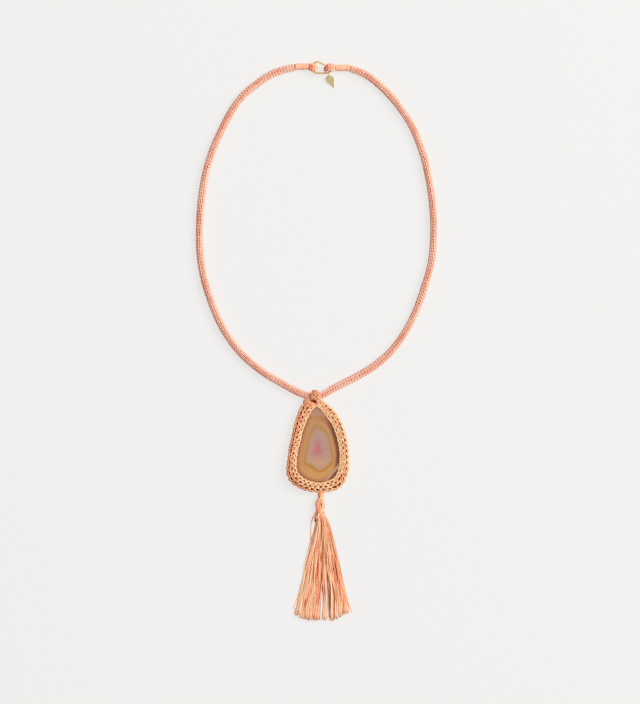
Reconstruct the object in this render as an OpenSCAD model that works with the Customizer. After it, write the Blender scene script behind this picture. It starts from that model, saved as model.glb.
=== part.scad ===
/* [Necklace cord] */
// Diameter of the knitted cord
cord_d = 5.2; // [4.8:0.1:5.3]
// Diameter of the cord where an end wrap squeezes it
cord_end_d = 4.4; // [4:0.1:4.6]

/* [Ends of the cord] */
// Width of a thread wrap, seen from above
wrap_w = 4.4; // [4:0.1:4.8]
// Height of a thread wrap, which binds the two strands of a loop
wrap_h = 5.6; // [5.4:0.1:5.8]
// Length of the left wrap
left_wrap_len = 8; // [7:0.1:9]
// Length of the right wrap
right_wrap_len = 9; // [8:0.1:10]
// Width of the flattened cord in an end loop
loop_w = 5.4; // [5:0.1:5.5]
// Thickness of the flattened cord in an end loop
loop_t = 2.4; // [2.2:0.05:2.4]

/* [Clasp] */
// Diameter of the clasp's wire
clasp_d = 1.4; // [1.2:0.05:1.4]
// Radius of the ring's wide end, at the middle of the wire
wide_r = 3.9; // [3.8:0.05:4]
// Radius of the ring's narrow end, at the middle of the wire
narrow_r = 2.35; // [2.3:0.05:2.4]
// Radius of the gate's hinge knuckle
knuckle_r = 0.95; // [0.9:0.05:1]
// Thickness of the gate's tongue
tongue_t = 0.5; // [0.4:0.05:0.6]
// Radius of the hinge pin
pin_r = 0.3; // [0.25:0.01:0.35]

/* [Tag] */
// Diameter of the tag ring's wire
tag_ring_d = 0.6; // [0.5:0.05:0.6]
// Radius of the tag ring, at the middle of its wire
tag_ring_r = 2; // [1.95:0.01:2.05]
// Radius of the tag's round end
tag_r = 2.85; // [2.7:0.05:3]
// Length from the middle of the round end to the tag's tip
tag_tip_len = 7.2; // [6.5:0.1:7.5]
// Thickness of the tag
tag_t = 0.6; // [0.5:0.05:0.7]

/* [Bail] */
// Width of the bail over the cord
bail_top_w = 7.4; // [6.5:0.1:7.6]
// Width of the bail where it meets the pendant
bail_bottom_w = 4.6; // [4:0.1:5]
// Inner radius of the bail
bail_inner_r = 3.1; // [3:0.05:3.2]
// Thickness of the bail's crochet
bail_t = 1.3; // [1.1:0.05:1.35]

/* [Pendant] */
// Height of the crocheted bezel
bezel_h = 7; // [6.8:0.1:7.6]
// Thickness of the agate slice
stone_t = 4.5; // [4:0.1:4.6]
// Height of the slice's back above the surface
stone_z = 1.3; // [1.1:0.1:1.4]

/* [Tassel] */
// Diameter of the thread that links the tassel to the bezel
link_d = 1.1; // [0.9:0.05:1.2]
// Radius of the knot on that thread
knot_r = 2.5; // [2.3:0.1:2.6]
// Diameter of the knot's turns
knot_turn_d = 1.2; // [1.1:0.05:1.3]
// Width of the slot in the tassel's head
slot_w = 1.7; // [1.6:0.1:1.8]

/* [Hidden] */

// Small gap that is left between neighbouring pieces
gap = 0.15;
// How far the clasp's bar reaches into the round ends that it joins
overlap = 0.2;
// Running clearance round the hinge pin and beside the gate's tongue
hinge_gap = 0.06;
// Number of sides of a round solid that is worked out as facets
cord_sides = 10;
loop_sides = 12;
lock_sides = 12;
// Rings worked out for each stretch between two rows of a table
cord_steps = 2;
bezel_steps = 4;
loop_steps = 2;

// Route of the knitted cord from the left wrap, round the left side, through the bail and up
// the right side to the right wrap. It lies on the surface and rises only into the bail.
// Columns: x, y, height of the middle
cord_z = 2.65;
cord_route = [
    [-15.75, 191.4, 2.8],
    [-24, 189.5, cord_z],
    [-34, 185.7, cord_z],
    [-43.7, 179.2, cord_z],
    [-53, 171.2, cord_z],
    [-61, 160.4, cord_z],
    [-68, 147.2, cord_z],
    [-74.8, 131.8, cord_z],
    [-79.5, 115.5, cord_z],
    [-82.2, 98, cord_z],
    [-83.5, 80, cord_z],
    [-83.2, 62, cord_z],
    [-80.7, 45, cord_z],
    [-75, 26, cord_z],
    [-66.7, 7.7, cord_z],
    [-54.5, -9, cord_z],
    [-40, -21.5, cord_z],
    [-27, -29.4, cord_z],
    [-15.8, -35.5, 3.2],
    [-7.5, -38.7, 4.2],
    [-2.7, -39.2, 4.4],
    [2.5, -38.1, 4.3],
    [11.2, -33, 3.2],
    [24.2, -26.4, cord_z],
    [37.3, -18.7, cord_z],
    [49, -9, cord_z],
    [58.6, 3.2, cord_z],
    [66.6, 17.6, cord_z],
    [73.2, 35.5, cord_z],
    [78.4, 54, cord_z],
    [80.2, 72, cord_z],
    [79.8, 90, cord_z],
    [77.4, 110, cord_z],
    [72.6, 131, cord_z],
    [65, 149.8, cord_z],
    [55, 165, cord_z],
    [43.4, 177.8, cord_z],
    [32, 186.3, cord_z],
    [20.95, 190.4, 2.8]
];

// Places of the wraps: the end that faces the clasp, on the wrap's middle line
left_wrap_at = [-7.6, 191.5];
right_wrap_at = [11.8, 190.6];
wrap_z = wrap_h / 2;
// Both wraps lie along the x axis, and the cord's route runs towards minus x at both of them
wrap_dir = [-1, 0, 0];

// End loops, from the wrap under the clasp's wire, round its bend and back over the wire.
// The clasp's wire passes between the two strands.
clasp_z = 3.25;
strand_z = loop_t / 2 + 0.02;
bend_r = clasp_z - strand_z;
// Reach of a loop from the wrap to the middle of its bend
left_bend_x = -4.1;
right_bend_x = 6.85;
// Columns of a loop's row: share of the way from wrap to bend, angle round the bend,
// share of the width, sideways shift, share of the thickness, share of the spread in height
REACH = 0;
TURN = 1;
WIDE = 2;
SHIFT = 3;
THICK = 4;
SPREAD = 5;
left_loop_rows = [
    [0.03, -90, 0.74, 0.5, 0.86, 0.6],
    [0.4, -90, 0.92, 0.2, 0.9, 0.97],
    [1, -90, 1, 0, 0.98, 1],
    [1, -45, 0.97, 0, 0.94, 1],
    [1, 0, 0.92, 0, 0.9, 1],
    [1, 45, 0.97, 0, 0.94, 1],
    [1, 90, 1, 0, 0.98, 1],
    [0.4, 90, 0.92, 0.2, 0.9, 0.97],
    [0.03, 90, 0.74, 0.5, 0.86, 0.6]
];
right_loop_rows = [
    [0, -90, 0.74, -0.2, 0.86, 0.5],
    [0.4, -90, 0.92, 0, 0.9, 0.97],
    [1, -90, 0.96, 0, 0.96, 1],
    [1, -45, 0.74, -0.7, 0.84, 1],
    [1, 0, 0.62, -1.2, 0.8, 1],
    [1, 45, 0.74, -0.7, 0.84, 1],
    [1, 90, 1, 0, 0.96, 1],
    [0.4, 90, 0.98, 0, 0.9, 0.97],
    [0, 90, 0.74, -0.2, 0.86, 0.5]
];
loop_y = 190.9;

// The clasp's ring is two round ends joined by a straight bar above and by the gate below
wide_at = [-1.2, 190.8];
narrow_at = [6.2, 189.2];
end_step = narrow_at - wide_at;
end_dir = atan2(end_step[1], end_step[0]);
end_lean = asin((wide_r - narrow_r) / norm(end_step));
bar_dir = end_dir - end_lean;
gate_dir = end_dir + end_lean;
hinge_at = wide_at + wide_r * heading(gate_dir - 90);
latch_at = narrow_at + narrow_r * heading(gate_dir - 90);
gate_len = norm(latch_at - hinge_at) - gap;
// The bar is a little thinner than the round ends
bar_d = 0.96 * clasp_d;
knuckle_h = clasp_d + 0.3;
slot_h = tongue_t + 2 * hinge_gap;
slot_r = knuckle_r + hinge_gap;
tongue_r = 0.8 * knuckle_r;
// Distance from the hinge's axis at which the gate has its full thickness
gate_start = knuckle_r + 0.25;

// The tag ring hangs on the narrow end's wire and points to the hole in the tag
hook_at = narrow_at + narrow_r * heading(-62);
tag_mid = [7.4, 182.7];
tag_tip = [10.7, 176.3];
tag_hole = [7.98, 184.6];
tag_hole_r = 0.6;
tag_dir = atan2(tag_tip[1] - tag_mid[1], tag_tip[0] - tag_mid[0]);
hang_dir = atan2(tag_hole[1] - hook_at[1], tag_hole[0] - hook_at[0]);
// How far the tag ring's middle lies beyond the wire it hangs on
ring_hang = 0.7;
tag_ring_at = hook_at + ring_hang * heading(hang_dir);
tag_ring_z = 2.75;
tag_hole_z = 2;
tag_tip_z = tag_t / 2 + 0.15;
tag_slope = asin((tag_hole_z - tag_tip_z) / norm(tag_tip - tag_hole));

// The bail is a short tube round the cord, narrowed towards the pendant
bail_at = [-2.7, -38.8];
bail_outer_r = bail_inner_r + bail_t;
bail_z = bail_outer_r;

// Outline of the pendant, from the top and round its left side, bottom and right side.
// Columns: x and y of the stone's visible edge, x and y of the bezel's outer edge
bezel_rows = [
    [-1.2, -46.2, -3.2, -44.1],
    [-3.4, -48, -8.4, -42.2],
    [-5.2, -50.2, -11.6, -44.8],
    [-7.6, -54.3, -14.2, -50],
    [-9.8, -59.8, -16.6, -57.2],
    [-11.8, -66.5, -18.6, -65.8],
    [-13.8, -74.5, -20.5, -75],
    [-15.3, -82.5, -21.9, -84.2],
    [-15.2, -89.5, -22.3, -93],
    [-12.4, -94.4, -19, -99.4],
    [-7, -97.6, -10.6, -104.2],
    [0.3, -99, 0.2, -105.8],
    [6.9, -97.6, 10.2, -104.5],
    [11.6, -93.5, 16.9, -100.3],
    [13.8, -87.5, 20.1, -92],
    [14.1, -80, 20.7, -81.8],
    [12.9, -71, 19.8, -71],
    [10.4, -62.5, 17.2, -61.6],
    [6.4, -55.4, 12.8, -52.2],
    [2.6, -50.8, 7.4, -46.2],
    [0.3, -47.6, 2.2, -43]
];
// Share of the band's width at the bottom of the groove, and at the stone's edge inside it
groove_share = 0.18;
stone_share = 0.15;
// Section of the bezel, from the lip over the stone outwards, down, and back under the stone.
// Columns: share of the band's width, height
bezel_section = [
    [0, stone_z + stone_t + gap],
    [0.02, 0.95 * bezel_h],
    [0.1, bezel_h],
    [0.22, 0.99 * bezel_h],
    [0.3, 0.94 * bezel_h],
    [0.42, 0.98 * bezel_h],
    [0.54, 0.94 * bezel_h],
    [0.63, 0.87 * bezel_h],
    [0.78, 0.88 * bezel_h],
    [0.91, 0.76 * bezel_h],
    [1, 0.5 * bezel_h],
    [0.97, 0.24 * bezel_h],
    [0.88, 0.05 * bezel_h],
    [0.78, 0],
    [0.2, 0],
    [0.06, 0.03 * bezel_h],
    [0, 0.1 * bezel_h],
    [0, stone_z - gap],
    [groove_share, stone_z - gap],
    [groove_share, stone_z + stone_t + gap]
];

// The link is a thread that leaves a knot on the bezel's edge and passes through the slot
link_x = 1.4;
slot_x = 1.6;
link_z = 2.8;
link_half_h = 1.7;
knot_y = -107.7;
knot_half_len = 1.75;
link_turn_y = -111.4;
slot_top_y = -112.2;
slot_bottom_y = -115.6;

// Head and neck of the tassel. Columns: x, y, half width, half height, height of the middle
head_rows = [
    [1, -109.6, 1.5, 1.1, 2.8],
    [0.8, -110.8, 2.7, 1.8, 2.8],
    [0.6, -112.6, 3.4, 2.3, 2.7],
    [0.5, -114.6, 3.5, 2.5, 2.7],
    [0.7, -116.6, 3, 2.5, 2.6],
    [0.9, -118.4, 2.6, 2.4, 2.5],
    [1, -120.4, 2.7, 2.4, 2.5],
    [1.1, -122, 3.2, 2.4, 2.5]
];
// How the skirt opens below the neck.
// Columns: share of the way down, spread, half height, x of the middle
skirt_rows = [
    [0, 0.16, 2.1, 1.1],
    [0.08, 0.26, 2.1, 1.6],
    [0.2, 0.34, 2, 2],
    [0.31, 0.43, 1.95, 2],
    [0.42, 0.53, 1.85, 1.9],
    [0.55, 0.63, 1.7, 1.7],
    [0.7, 0.76, 1.6, 1.4],
    [0.84, 0.9, 1.5, 1.1],
    [0.96, 0.99, 1.3, 1],
    [1, 1, 0.9, 1]
];
// Locks of the skirt. Columns: x and y of the tip, half width, lift of the lock
locks = [
    [-16.6, -191.8, 1.6, 0],
    [-13.3, -193.6, 1.6, 0.5],
    [-9.9, -194.6, 1.65, 0.1],
    [-6.5, -195, 1.6, 0.6],
    [-3, -195.3, 1.7, 0],
    [0.6, -195.6, 1.7, 0.5],
    [4.2, -195.4, 1.75, 0.1],
    [8.5, -195.6, 1.7, 0.5],
    [11.7, -194.6, 1.6, 0],
    [14.8, -192.8, 1.6, 0.5],
    [17.9, -191.2, 1.5, 0],
    [20.8, -190, 1.3, 0.3]
];
skirt_x = 1;
skirt_y = -120;
disc_t = 0.02;

// Unit vector in the plane at an angle from the x axis
function heading(angle) = [cos(angle), sin(angle)];
// Vector of length one along v
function unit(v) = v / norm(v);
// Smooth curve from b to c that also heeds its neighbours a and d, at t from 0 to 1
function curve_point(a, b, c, d, t) =
    (2 * b + (c - a) * t + (2 * a - 5 * b + 4 * c - d) * t * t
        + (3 * b - a - 3 * c + d) * t * t * t) / 2;
// Rows of a table with more rows worked out between them, from the first row to the last
function open_curve(rows, steps) = [
    for (i = [0 : len(rows) - 2])
        for (k = [0 : steps - 1])
            curve_point(rows[max(i - 1, 0)], rows[i], rows[i + 1],
                rows[min(i + 2, len(rows) - 1)], k / steps),
    rows[len(rows) - 1]
];
// The same for a table that runs round and meets its own first row
function closed_curve(rows, steps) = [
    for (i = [0 : len(rows) - 1])
        for (k = [0 : steps - 1])
            curve_point(rows[(i + len(rows) - 1) % len(rows)], rows[i],
                rows[(i + 1) % len(rows)], rows[(i + 2) % len(rows)], k / steps)
];
// Direction of a path at its point i
function tangent(path, i) =
    unit(path[min(i + 1, len(path) - 1)] - path[max(i - 1, 0)]);
// Corners of an oval across the path: half_w along side, half_t along up
function oval(middle, side, up, half_w, half_t, sides) = [
    for (k = [0 : sides - 1])
        middle + side * half_w * cos(360 * k / sides) + up * half_t * sin(360 * k / sides)
];
// Faces of a tube with flat ends, from rings of equally many corners
function tube_faces(rings, sides) = concat(
    [[for (k = [0 : sides - 1]) k]],
    [
        for (i = [0 : rings - 2])
            for (k = [0 : sides - 1])
                [i * sides + k, (i + 1) * sides + k, (i + 1) * sides + (k + 1) % sides,
                    i * sides + (k + 1) % sides]
    ],
    [[for (k = [sides - 1 : -1 : 0]) (rings - 1) * sides + k]]
);
// Faces of a ring that closes on itself
function ring_faces(rings, sides) = [
    for (i = [0 : rings - 1])
        for (k = [0 : sides - 1])
            [i * sides + k, ((i + 1) % rings) * sides + k,
                ((i + 1) % rings) * sides + (k + 1) % sides, i * sides + (k + 1) % sides]
];
// All corners of a list of rings, one after the other
function flat(rings) = [for (ring = rings) for (corner = ring) corner];

// Round cord along its route, squeezed at both ends
module cord_tube() {
    path = open_curve(cord_route, cord_steps);
    last = len(path) - 1;
    rings = [
        for (i = [0 : last])
            let (
                at_end = i == 0 || i == last,
                along = at_end ? wrap_dir : tangent(path, i),
                side = unit(cross([0, 0, 1], along)),
                up = cross(along, side),
                r = at_end ? cord_end_d / 2 : cord_d / 2
            )
            oval(path[i], side, up, r, r, cord_sides)
    ];
    polyhedron(flat(rings), tube_faces(len(rings), cord_sides), convexity = 10);
}

// Thread wrap: a straight oval sleeve that runs from the clasp's side away from it
module wrap(at, len) {
    straight = wrap_h - wrap_w;
    translate([at[0], at[1], wrap_z])
        rotate([90, 0, 90])
            linear_extrude(len)
                union() {
                    translate([0, straight / 2]) circle(d = wrap_w, $fn = 48);
                    translate([0, -straight / 2]) circle(d = wrap_w, $fn = 48);
                    square([wrap_w, straight], center = true);
                }
}

// Middle of a loop's section for one row of its table
function loop_middle(row, wrap_x, bend_x, facing) = [
    wrap_x + (bend_x - wrap_x) * row[REACH] + facing * bend_r * cos(row[TURN]),
    loop_y + row[SHIFT],
    wrap_z + (clasp_z - wrap_z) * sqrt(max(row[REACH], 0)) + bend_r * row[SPREAD] * sin(row[TURN])
];

// Flattened cord of an end loop, from its table of rows
module end_loop(rows, wrap_x, bend_x) {
    facing = sign(bend_x - wrap_x);
    table = open_curve(rows, loop_steps);
    path = [for (row = table) loop_middle(row, wrap_x, bend_x, facing)];
    last = len(path) - 1;
    rings = [
        for (i = [0 : last])
            let (
                slope = tangent(path, i),
                along = i == 0 ? [facing, 0, 0]
                    : i == last ? [-facing, 0, 0]
                    : unit([slope[0], 0, slope[2]]),
                side = [0, 1, 0],
                up = cross(along, side)
            )
            oval(path[i], side, up, loop_w / 2 * table[i][WIDE], loop_t / 2 * table[i][THICK],
                loop_sides)
    ];
    polyhedron(flat(rings), tube_faces(len(rings), loop_sides), convexity = 6);
}

// Stretch of the clasp's wire round one of its ends
module wire_arc(at, r, from, to) {
    translate([at[0], at[1], clasp_z])
        rotate([0, 0, from])
            rotate_extrude(angle = to - from, $fn = 96)
                translate([r, 0])
                    circle(d = clasp_d, $fn = 32);
}

// Straight stretch of the clasp's wire
module wire_bar(at, dir, len, d) {
    translate([at[0], at[1], clasp_z])
        rotate([0, 90, dir])
            cylinder(d = d, h = len, $fn = 48);
}

// Upright cylinder on the hinge's axis, centred on the plane of the clasp
module on_hinge(r, h) {
    translate([hinge_at[0], hinge_at[1], clasp_z - h / 2])
        cylinder(r = r, h = h, $fn = 48);
}

// Thread that leaves the knot, passes through the head's slot and comes back
module link_thread(d) {
    leg = knot_y - link_turn_y;
    translate([link_x, link_turn_y, link_z]) {
        rotate([90, 0, -90])
            rotate([0, 0, -90])
                rotate_extrude(angle = 180, $fn = 64)
                    translate([link_half_h, 0])
                        circle(d = d, $fn = 24);
        for (z = [-link_half_h, link_half_h])
            translate([0, 0, z])
                rotate([-90, 0, 0])
                    cylinder(d = d, h = leg, $fn = 24);
    }
}

// Thin oval slice across the tassel
module slice(x, y, z, half_w, half_h) {
    translate([x, y, z])
        rotate([90, 0, 0])
            linear_extrude(disc_t, center = true)
                scale([half_w, half_h])
                    circle(1, $fn = lock_sides);
}

// Slice of one lock at one row of the skirt
module lock_slice(lock, row) {
    slice(row[3] + (lock[0] - skirt_x) * row[1], skirt_y + (lock[1] - skirt_y) * row[0],
        row[2] + lock[3], lock[2] * (0.45 + 0.55 * row[1]) * (row[0] == 1 ? 0.7 : 1), row[2]);
}

module necklace_cord() {
    color([0.95, 0.66, 0.53]) cord_tube();
}

module left_end_wrap() {
    color([0.96, 0.71, 0.56])
        translate([-left_wrap_len, 0, 0])
            wrap(left_wrap_at, left_wrap_len);
}

module right_end_wrap() {
    color([0.96, 0.71, 0.56]) wrap(right_wrap_at, right_wrap_len);
}

module left_end_loop() {
    color([0.9, 0.55, 0.47])
        end_loop(left_loop_rows, left_wrap_at[0] + gap, left_bend_x);
}

module right_end_loop() {
    color([0.9, 0.55, 0.47])
        end_loop(right_loop_rows, right_wrap_at[0] - gap, right_bend_x);
}

module clasp_frame() {
    color([0.83, 0.67, 0.35])
        union() {
            difference() {
                union() {
                    wire_arc(wide_at, wide_r, 90 + bar_dir, 270 + gate_dir);
                    wire_arc(narrow_at, narrow_r, gate_dir - 90, 90 + bar_dir);
                    wire_bar(wide_at + wide_r * heading(90 + bar_dir) - overlap * heading(bar_dir),
                        bar_dir, norm(end_step) * cos(end_lean) + 2 * overlap, bar_d);
                    on_hinge(knuckle_r, knuckle_h);
                }
                on_hinge(slot_r, slot_h);
            }
            on_hinge(pin_r, knuckle_h);
        }
}

module clasp_gate() {
    color([0.86, 0.71, 0.4])
        union() {
            wire_bar(hinge_at + gate_start * heading(gate_dir), gate_dir,
                gate_len - gate_start, clasp_d);
            difference() {
                union() {
                    on_hinge(tongue_r, tongue_t);
                    translate([hinge_at[0], hinge_at[1], clasp_z])
                        rotate([0, 0, gate_dir])
                            translate([0, -tongue_r * 0.8, -tongue_t / 2])
                                cube([gate_start + tongue_r, tongue_r * 1.6, tongue_t]);
                }
                on_hinge(pin_r + hinge_gap, knuckle_h);
            }
        }
}

module tag_ring() {
    color([0.83, 0.67, 0.35])
        translate([tag_ring_at[0], tag_ring_at[1], tag_ring_z])
            rotate([0, 0, hang_dir])
                rotate([90, 0, 0])
                    rotate_extrude($fn = 96)
                        translate([tag_ring_r, 0])
                            circle(d = tag_ring_d, $fn = 48);
}

module tag() {
    touch = acos(tag_r / tag_tip_len);
    color([0.82, 0.68, 0.4])
        translate([tag_hole[0], tag_hole[1], tag_hole_z])
            rotate([0, 0, hang_dir])
                rotate([0, tag_slope, 0])
                    rotate([0, 0, -hang_dir])
                        translate([0, 0, -tag_t / 2])
                            difference() {
                                translate(concat(tag_mid - tag_hole, [0]))
                                    rotate([0, 0, tag_dir])
                                        linear_extrude(tag_t)
                                            union() {
                                                circle(r = tag_r, $fn = 64);
                                                polygon([tag_r * heading(touch),
                                                    [0, 0],
                                                    tag_r * heading(-touch),
                                                    [tag_tip_len, 0]]);
                                            }
                                translate([0, 0, -1])
                                    cylinder(r = tag_hole_r, h = tag_t + 2, $fn = 32);
                            }
}

module bail() {
    color([0.98, 0.76, 0.57])
        intersection() {
            translate([bail_at[0] - bail_top_w, bail_at[1], bail_z])
                rotate([0, 90, 0])
                    difference() {
                        cylinder(r = bail_outer_r, h = 2 * bail_top_w, $fn = 64);
                        translate([0, 0, -1])
                            cylinder(r = bail_inner_r, h = 2 * bail_top_w + 2, $fn = 64);
                    }
            translate([bail_at[0], bail_at[1], 0])
                linear_extrude(2 * bail_outer_r)
                    polygon([
                        [-bail_top_w / 2, bail_outer_r],
                        [-bail_top_w / 2, 0],
                        [-bail_bottom_w / 2, -bail_outer_r],
                        [bail_bottom_w / 2, -bail_outer_r],
                        [bail_top_w / 2, 0],
                        [bail_top_w / 2, bail_outer_r]
                    ]);
        }
}

module stone_bezel() {
    stations = closed_curve(bezel_rows, bezel_steps);
    rings = [
        for (s = stations)
            [
                for (p = bezel_section)
                    [s[0] + (s[2] - s[0]) * p[0], s[1] + (s[3] - s[1]) * p[0], p[1]]
            ]
    ];
    color([0.97, 0.72, 0.54])
        polyhedron(flat(rings), ring_faces(len(rings), len(bezel_section)), convexity = 8);
}

module agate_slice() {
    stations = closed_curve(bezel_rows, bezel_steps);
    color([0.74, 0.53, 0.43])
        translate([0, 0, stone_z])
            linear_extrude(stone_t)
                polygon([
                    for (s = stations)
                        [s[0] + (s[2] - s[0]) * stone_share, s[1] + (s[3] - s[1]) * stone_share]
                ]);
}

module tassel_link() {
    color([0.9, 0.56, 0.47])
        union() {
            translate([link_x, knot_y, link_z])
                rotate([90, 0, 0]) {
                    cylinder(r = knot_r - 0.6 * knot_turn_d, h = 2 * knot_half_len - knot_turn_d,
                        center = true, $fn = 48);
                    for (turn = [-1 : 1])
                        translate([0, 0, turn * (knot_half_len - knot_turn_d / 2)])
                            rotate_extrude($fn = 48)
                                translate([knot_r - knot_turn_d / 2 * (1 + 0.4 * abs(turn)), 0])
                                    circle(d = knot_turn_d, $fn = 24);
                }
            link_thread(link_d);
        }
}

module tassel() {
    color([0.97, 0.72, 0.55])
        difference() {
            union() {
                for (i = [0 : len(head_rows) - 2])
                    hull() {
                        for (row = [head_rows[i], head_rows[i + 1]])
                            slice(row[0], row[1], row[4], row[2], row[3]);
                    }
                for (lock = locks)
                    for (i = [0 : len(skirt_rows) - 2])
                        hull() {
                            lock_slice(lock, skirt_rows[i]);
                            lock_slice(lock, skirt_rows[i + 1]);
                        }
            }
            link_thread(link_d + 2 * gap);
            translate([slot_x, 0, -1])
                linear_extrude(2 * bezel_h)
                    union() {
                        translate([0, slot_top_y]) circle(d = slot_w, $fn = 20);
                        translate([0, slot_bottom_y]) circle(d = slot_w, $fn = 20);
                        translate([-slot_w / 2, slot_bottom_y])
                            square([slot_w, slot_top_y - slot_bottom_y]);
                    }
        }
}

necklace_cord();
left_end_wrap();
right_end_wrap();
left_end_loop();
right_end_loop();
clasp_frame();
clasp_gate();
tag_ring();
tag();
bail();
stone_bezel();
agate_slice();
tassel_link();
tassel();
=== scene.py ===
# %% [markdown]
# # Crochet necklace
#
# A knitted tube cord carries a pear-shaped slice of agate in a crochet bezel, with a thread
# tassel below it. A gold ring clasp joins the two ends of the cord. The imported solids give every
# size and place. This file gives the yarns their stitches and every surface its finish.

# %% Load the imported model
import bpy
import numpy as np
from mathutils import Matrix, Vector


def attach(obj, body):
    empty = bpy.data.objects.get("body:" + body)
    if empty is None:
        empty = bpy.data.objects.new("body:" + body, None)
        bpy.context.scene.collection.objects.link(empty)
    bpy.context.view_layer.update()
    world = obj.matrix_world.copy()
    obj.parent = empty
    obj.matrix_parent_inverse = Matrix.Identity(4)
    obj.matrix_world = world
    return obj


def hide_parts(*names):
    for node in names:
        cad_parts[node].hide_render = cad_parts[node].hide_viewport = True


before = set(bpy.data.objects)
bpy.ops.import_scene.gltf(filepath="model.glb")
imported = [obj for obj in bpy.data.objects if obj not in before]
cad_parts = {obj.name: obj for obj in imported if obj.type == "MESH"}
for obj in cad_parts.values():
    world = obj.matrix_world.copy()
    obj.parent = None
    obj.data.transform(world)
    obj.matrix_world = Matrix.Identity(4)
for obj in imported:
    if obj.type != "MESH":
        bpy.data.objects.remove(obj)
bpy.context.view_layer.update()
MM = 0.001

# %% [markdown]
# ## Camera
#
# The photo looks straight down on the necklace from far away, so a long lens high above the
# floor is used. One pixel of the photo is 0.7 mm on the floor, and the picture is 640 pixels
# wide.

# %% Camera
PIXEL = 0.7
PHOTO_WIDTH, PHOTO_HEIGHT = 640, 704
ORIGIN_PX, ORIGIN_PY = 319, 340.5
CAMERA_HEIGHT, SENSOR = 2.6, 36


def on_floor(px, py):
    """Place on the floor, in millimetres, of a pixel of the photo.

    It is how far the pixel is from the origin's pixel, right and up, times the size of a pixel.
    """
    return (px - ORIGIN_PX) * PIXEL, (ORIGIN_PY - py) * PIXEL


lens = bpy.data.cameras.new("camera")
lens.sensor_fit = "HORIZONTAL"
lens.sensor_width = SENSOR
lens.lens = SENSOR * CAMERA_HEIGHT / (PHOTO_WIDTH * PIXEL * MM)
camera = bpy.data.objects.new("camera", lens)
middle_x, middle_y = on_floor(PHOTO_WIDTH / 2, PHOTO_HEIGHT / 2)
camera.location = (middle_x * MM, middle_y * MM, CAMERA_HEIGHT)
bpy.context.scene.collection.objects.link(camera)
bpy.context.scene.camera = camera
print("lens of %.0f mm" % lens.lens)

# %% [markdown]
# ## Paths and rails
#
# Every yarn here follows a line that lies on some other piece: a lane of stitches on a cord, or
# a round of crochet on the bezel. Such a line needs more than its points. It needs to know which
# way is sideways on the piece and which way is outwards, so that a stitch can be laid on it. That
# is a rail.

# %% Smooth paths and rails


def smooth(rows, steps, closed=False):
    """Smooth curve through rows of a table, with `steps` points from each row to the next.

    Between b and c, with neighbours a and d, a point at t from 0 to 1 is half of
    2b + (c - a) t + (2a - 5b + 4c - d) t^2 + (3b - a - 3c + d) t^3.
    """
    rows = np.asarray(rows, float)
    count = len(rows)
    first = np.arange(count if closed else count - 1)
    pick = (lambda i: i % count) if closed else (lambda i: np.clip(i, 0, count - 1))
    a, b, c, d = (rows[pick(first + k)][:, None] for k in (-1, 0, 1, 2))
    t = (np.arange(steps) / steps)[None, :, None]
    curve = (2 * b + (c - a) * t + (2 * a - 5 * b + 4 * c - d) * t ** 2
             + (3 * b - a - 3 * c + d) * t ** 3) / 2
    curve = curve.reshape(-1, rows.shape[1])
    return curve if closed else np.vstack([curve, rows[-1]])


def unit(vectors):
    """Vectors of length one."""
    return vectors / np.maximum(np.linalg.norm(vectors, axis=-1, keepdims=True), 1e-9)


def headings(points, closed=False):
    """Direction of a line at each of its points, from the neighbours on both sides."""
    if closed:
        return unit(np.roll(points, -1, axis=0) - np.roll(points, 1, axis=0))
    return unit(np.gradient(points, axis=0))


class Rail:
    """A line with a sideways and an outward direction at each point, read by length along it."""

    def __init__(self, points, side, out, closed=False):
        lines = [np.asarray(m, float) for m in (points, side, out)]
        if closed:
            lines = [np.vstack([m, m[:1]]) for m in lines]
        self.points, self.side, self.out = lines
        steps = np.linalg.norm(np.diff(self.points, axis=0), axis=1)
        self.at = np.concatenate([[0], np.cumsum(steps)])
        self.length = self.at[-1]
        self.closed = closed

    def read(self, along):
        """Point, sideways and outward direction at lengths along the rail."""
        along = along % self.length if self.closed else np.clip(along, 0, self.length)
        return [np.stack([np.interp(along, self.at, column) for column in m.T], axis=-1)
                for m in (self.points, self.side, self.out)]


def tube_lanes(path, side, up, half_w, half_t, lanes, turn):
    """Rails that run along a tube, evenly round it.

    The tube's section is an oval, half_w along side and half_t along up. Lane k stands at the
    angle turn + 360 k / lanes from side towards up.
    """
    rails = []
    for k in range(lanes):
        angle = np.radians(turn + 360 * k / lanes)
        cos, sin = np.cos(angle)[..., None], np.sin(angle)[..., None]
        place = path + side * half_w[:, None] * cos + up * half_t[:, None] * sin
        out = unit(side * cos * half_t[:, None] + up * sin * half_w[:, None])
        rails.append(Rail(place, unit(np.cross(headings(place), out)), out))
    return rails


# %% [markdown]
# ## Yarn as mesh
#
# A yarn is a thin tube. Its centre line is an array of points, and at each point a small ring of
# corners stands across it. All rings are worked out at once, and neighbouring rings are joined by
# quads. The mesh also keeps what its material needs: a UV map that runs along and round the yarn,
# and numbers for its colour and depth of shade.

# %% Tubes from centre lines


def rings_of(lines, radius, out, sides=6, closed=False):
    """Rings of corners across many lines at once.

    lines is (strands, points, 3). A corner is the point plus radius times (cos a) sideways plus
    (sin a) outwards, where sideways is at right angles to the line and to `out`.
    """
    along = np.roll(lines, -1, axis=1) - np.roll(lines, 1, axis=1)
    if not closed:
        along[:, 0], along[:, -1] = lines[:, 1] - lines[:, 0], lines[:, -1] - lines[:, -2]
    along = unit(along)
    sideways = unit(np.cross(along, out))
    outwards = np.cross(sideways, along)
    angle = 2 * np.pi * np.arange(sides) / sides
    radius = np.broadcast_to(radius, lines.shape[:2])[..., None, None]
    return (lines[:, :, None] + radius * (np.cos(angle)[:, None] * sideways[:, :, None]
                                          + np.sin(angle)[:, None] * outwards[:, :, None]))


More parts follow.
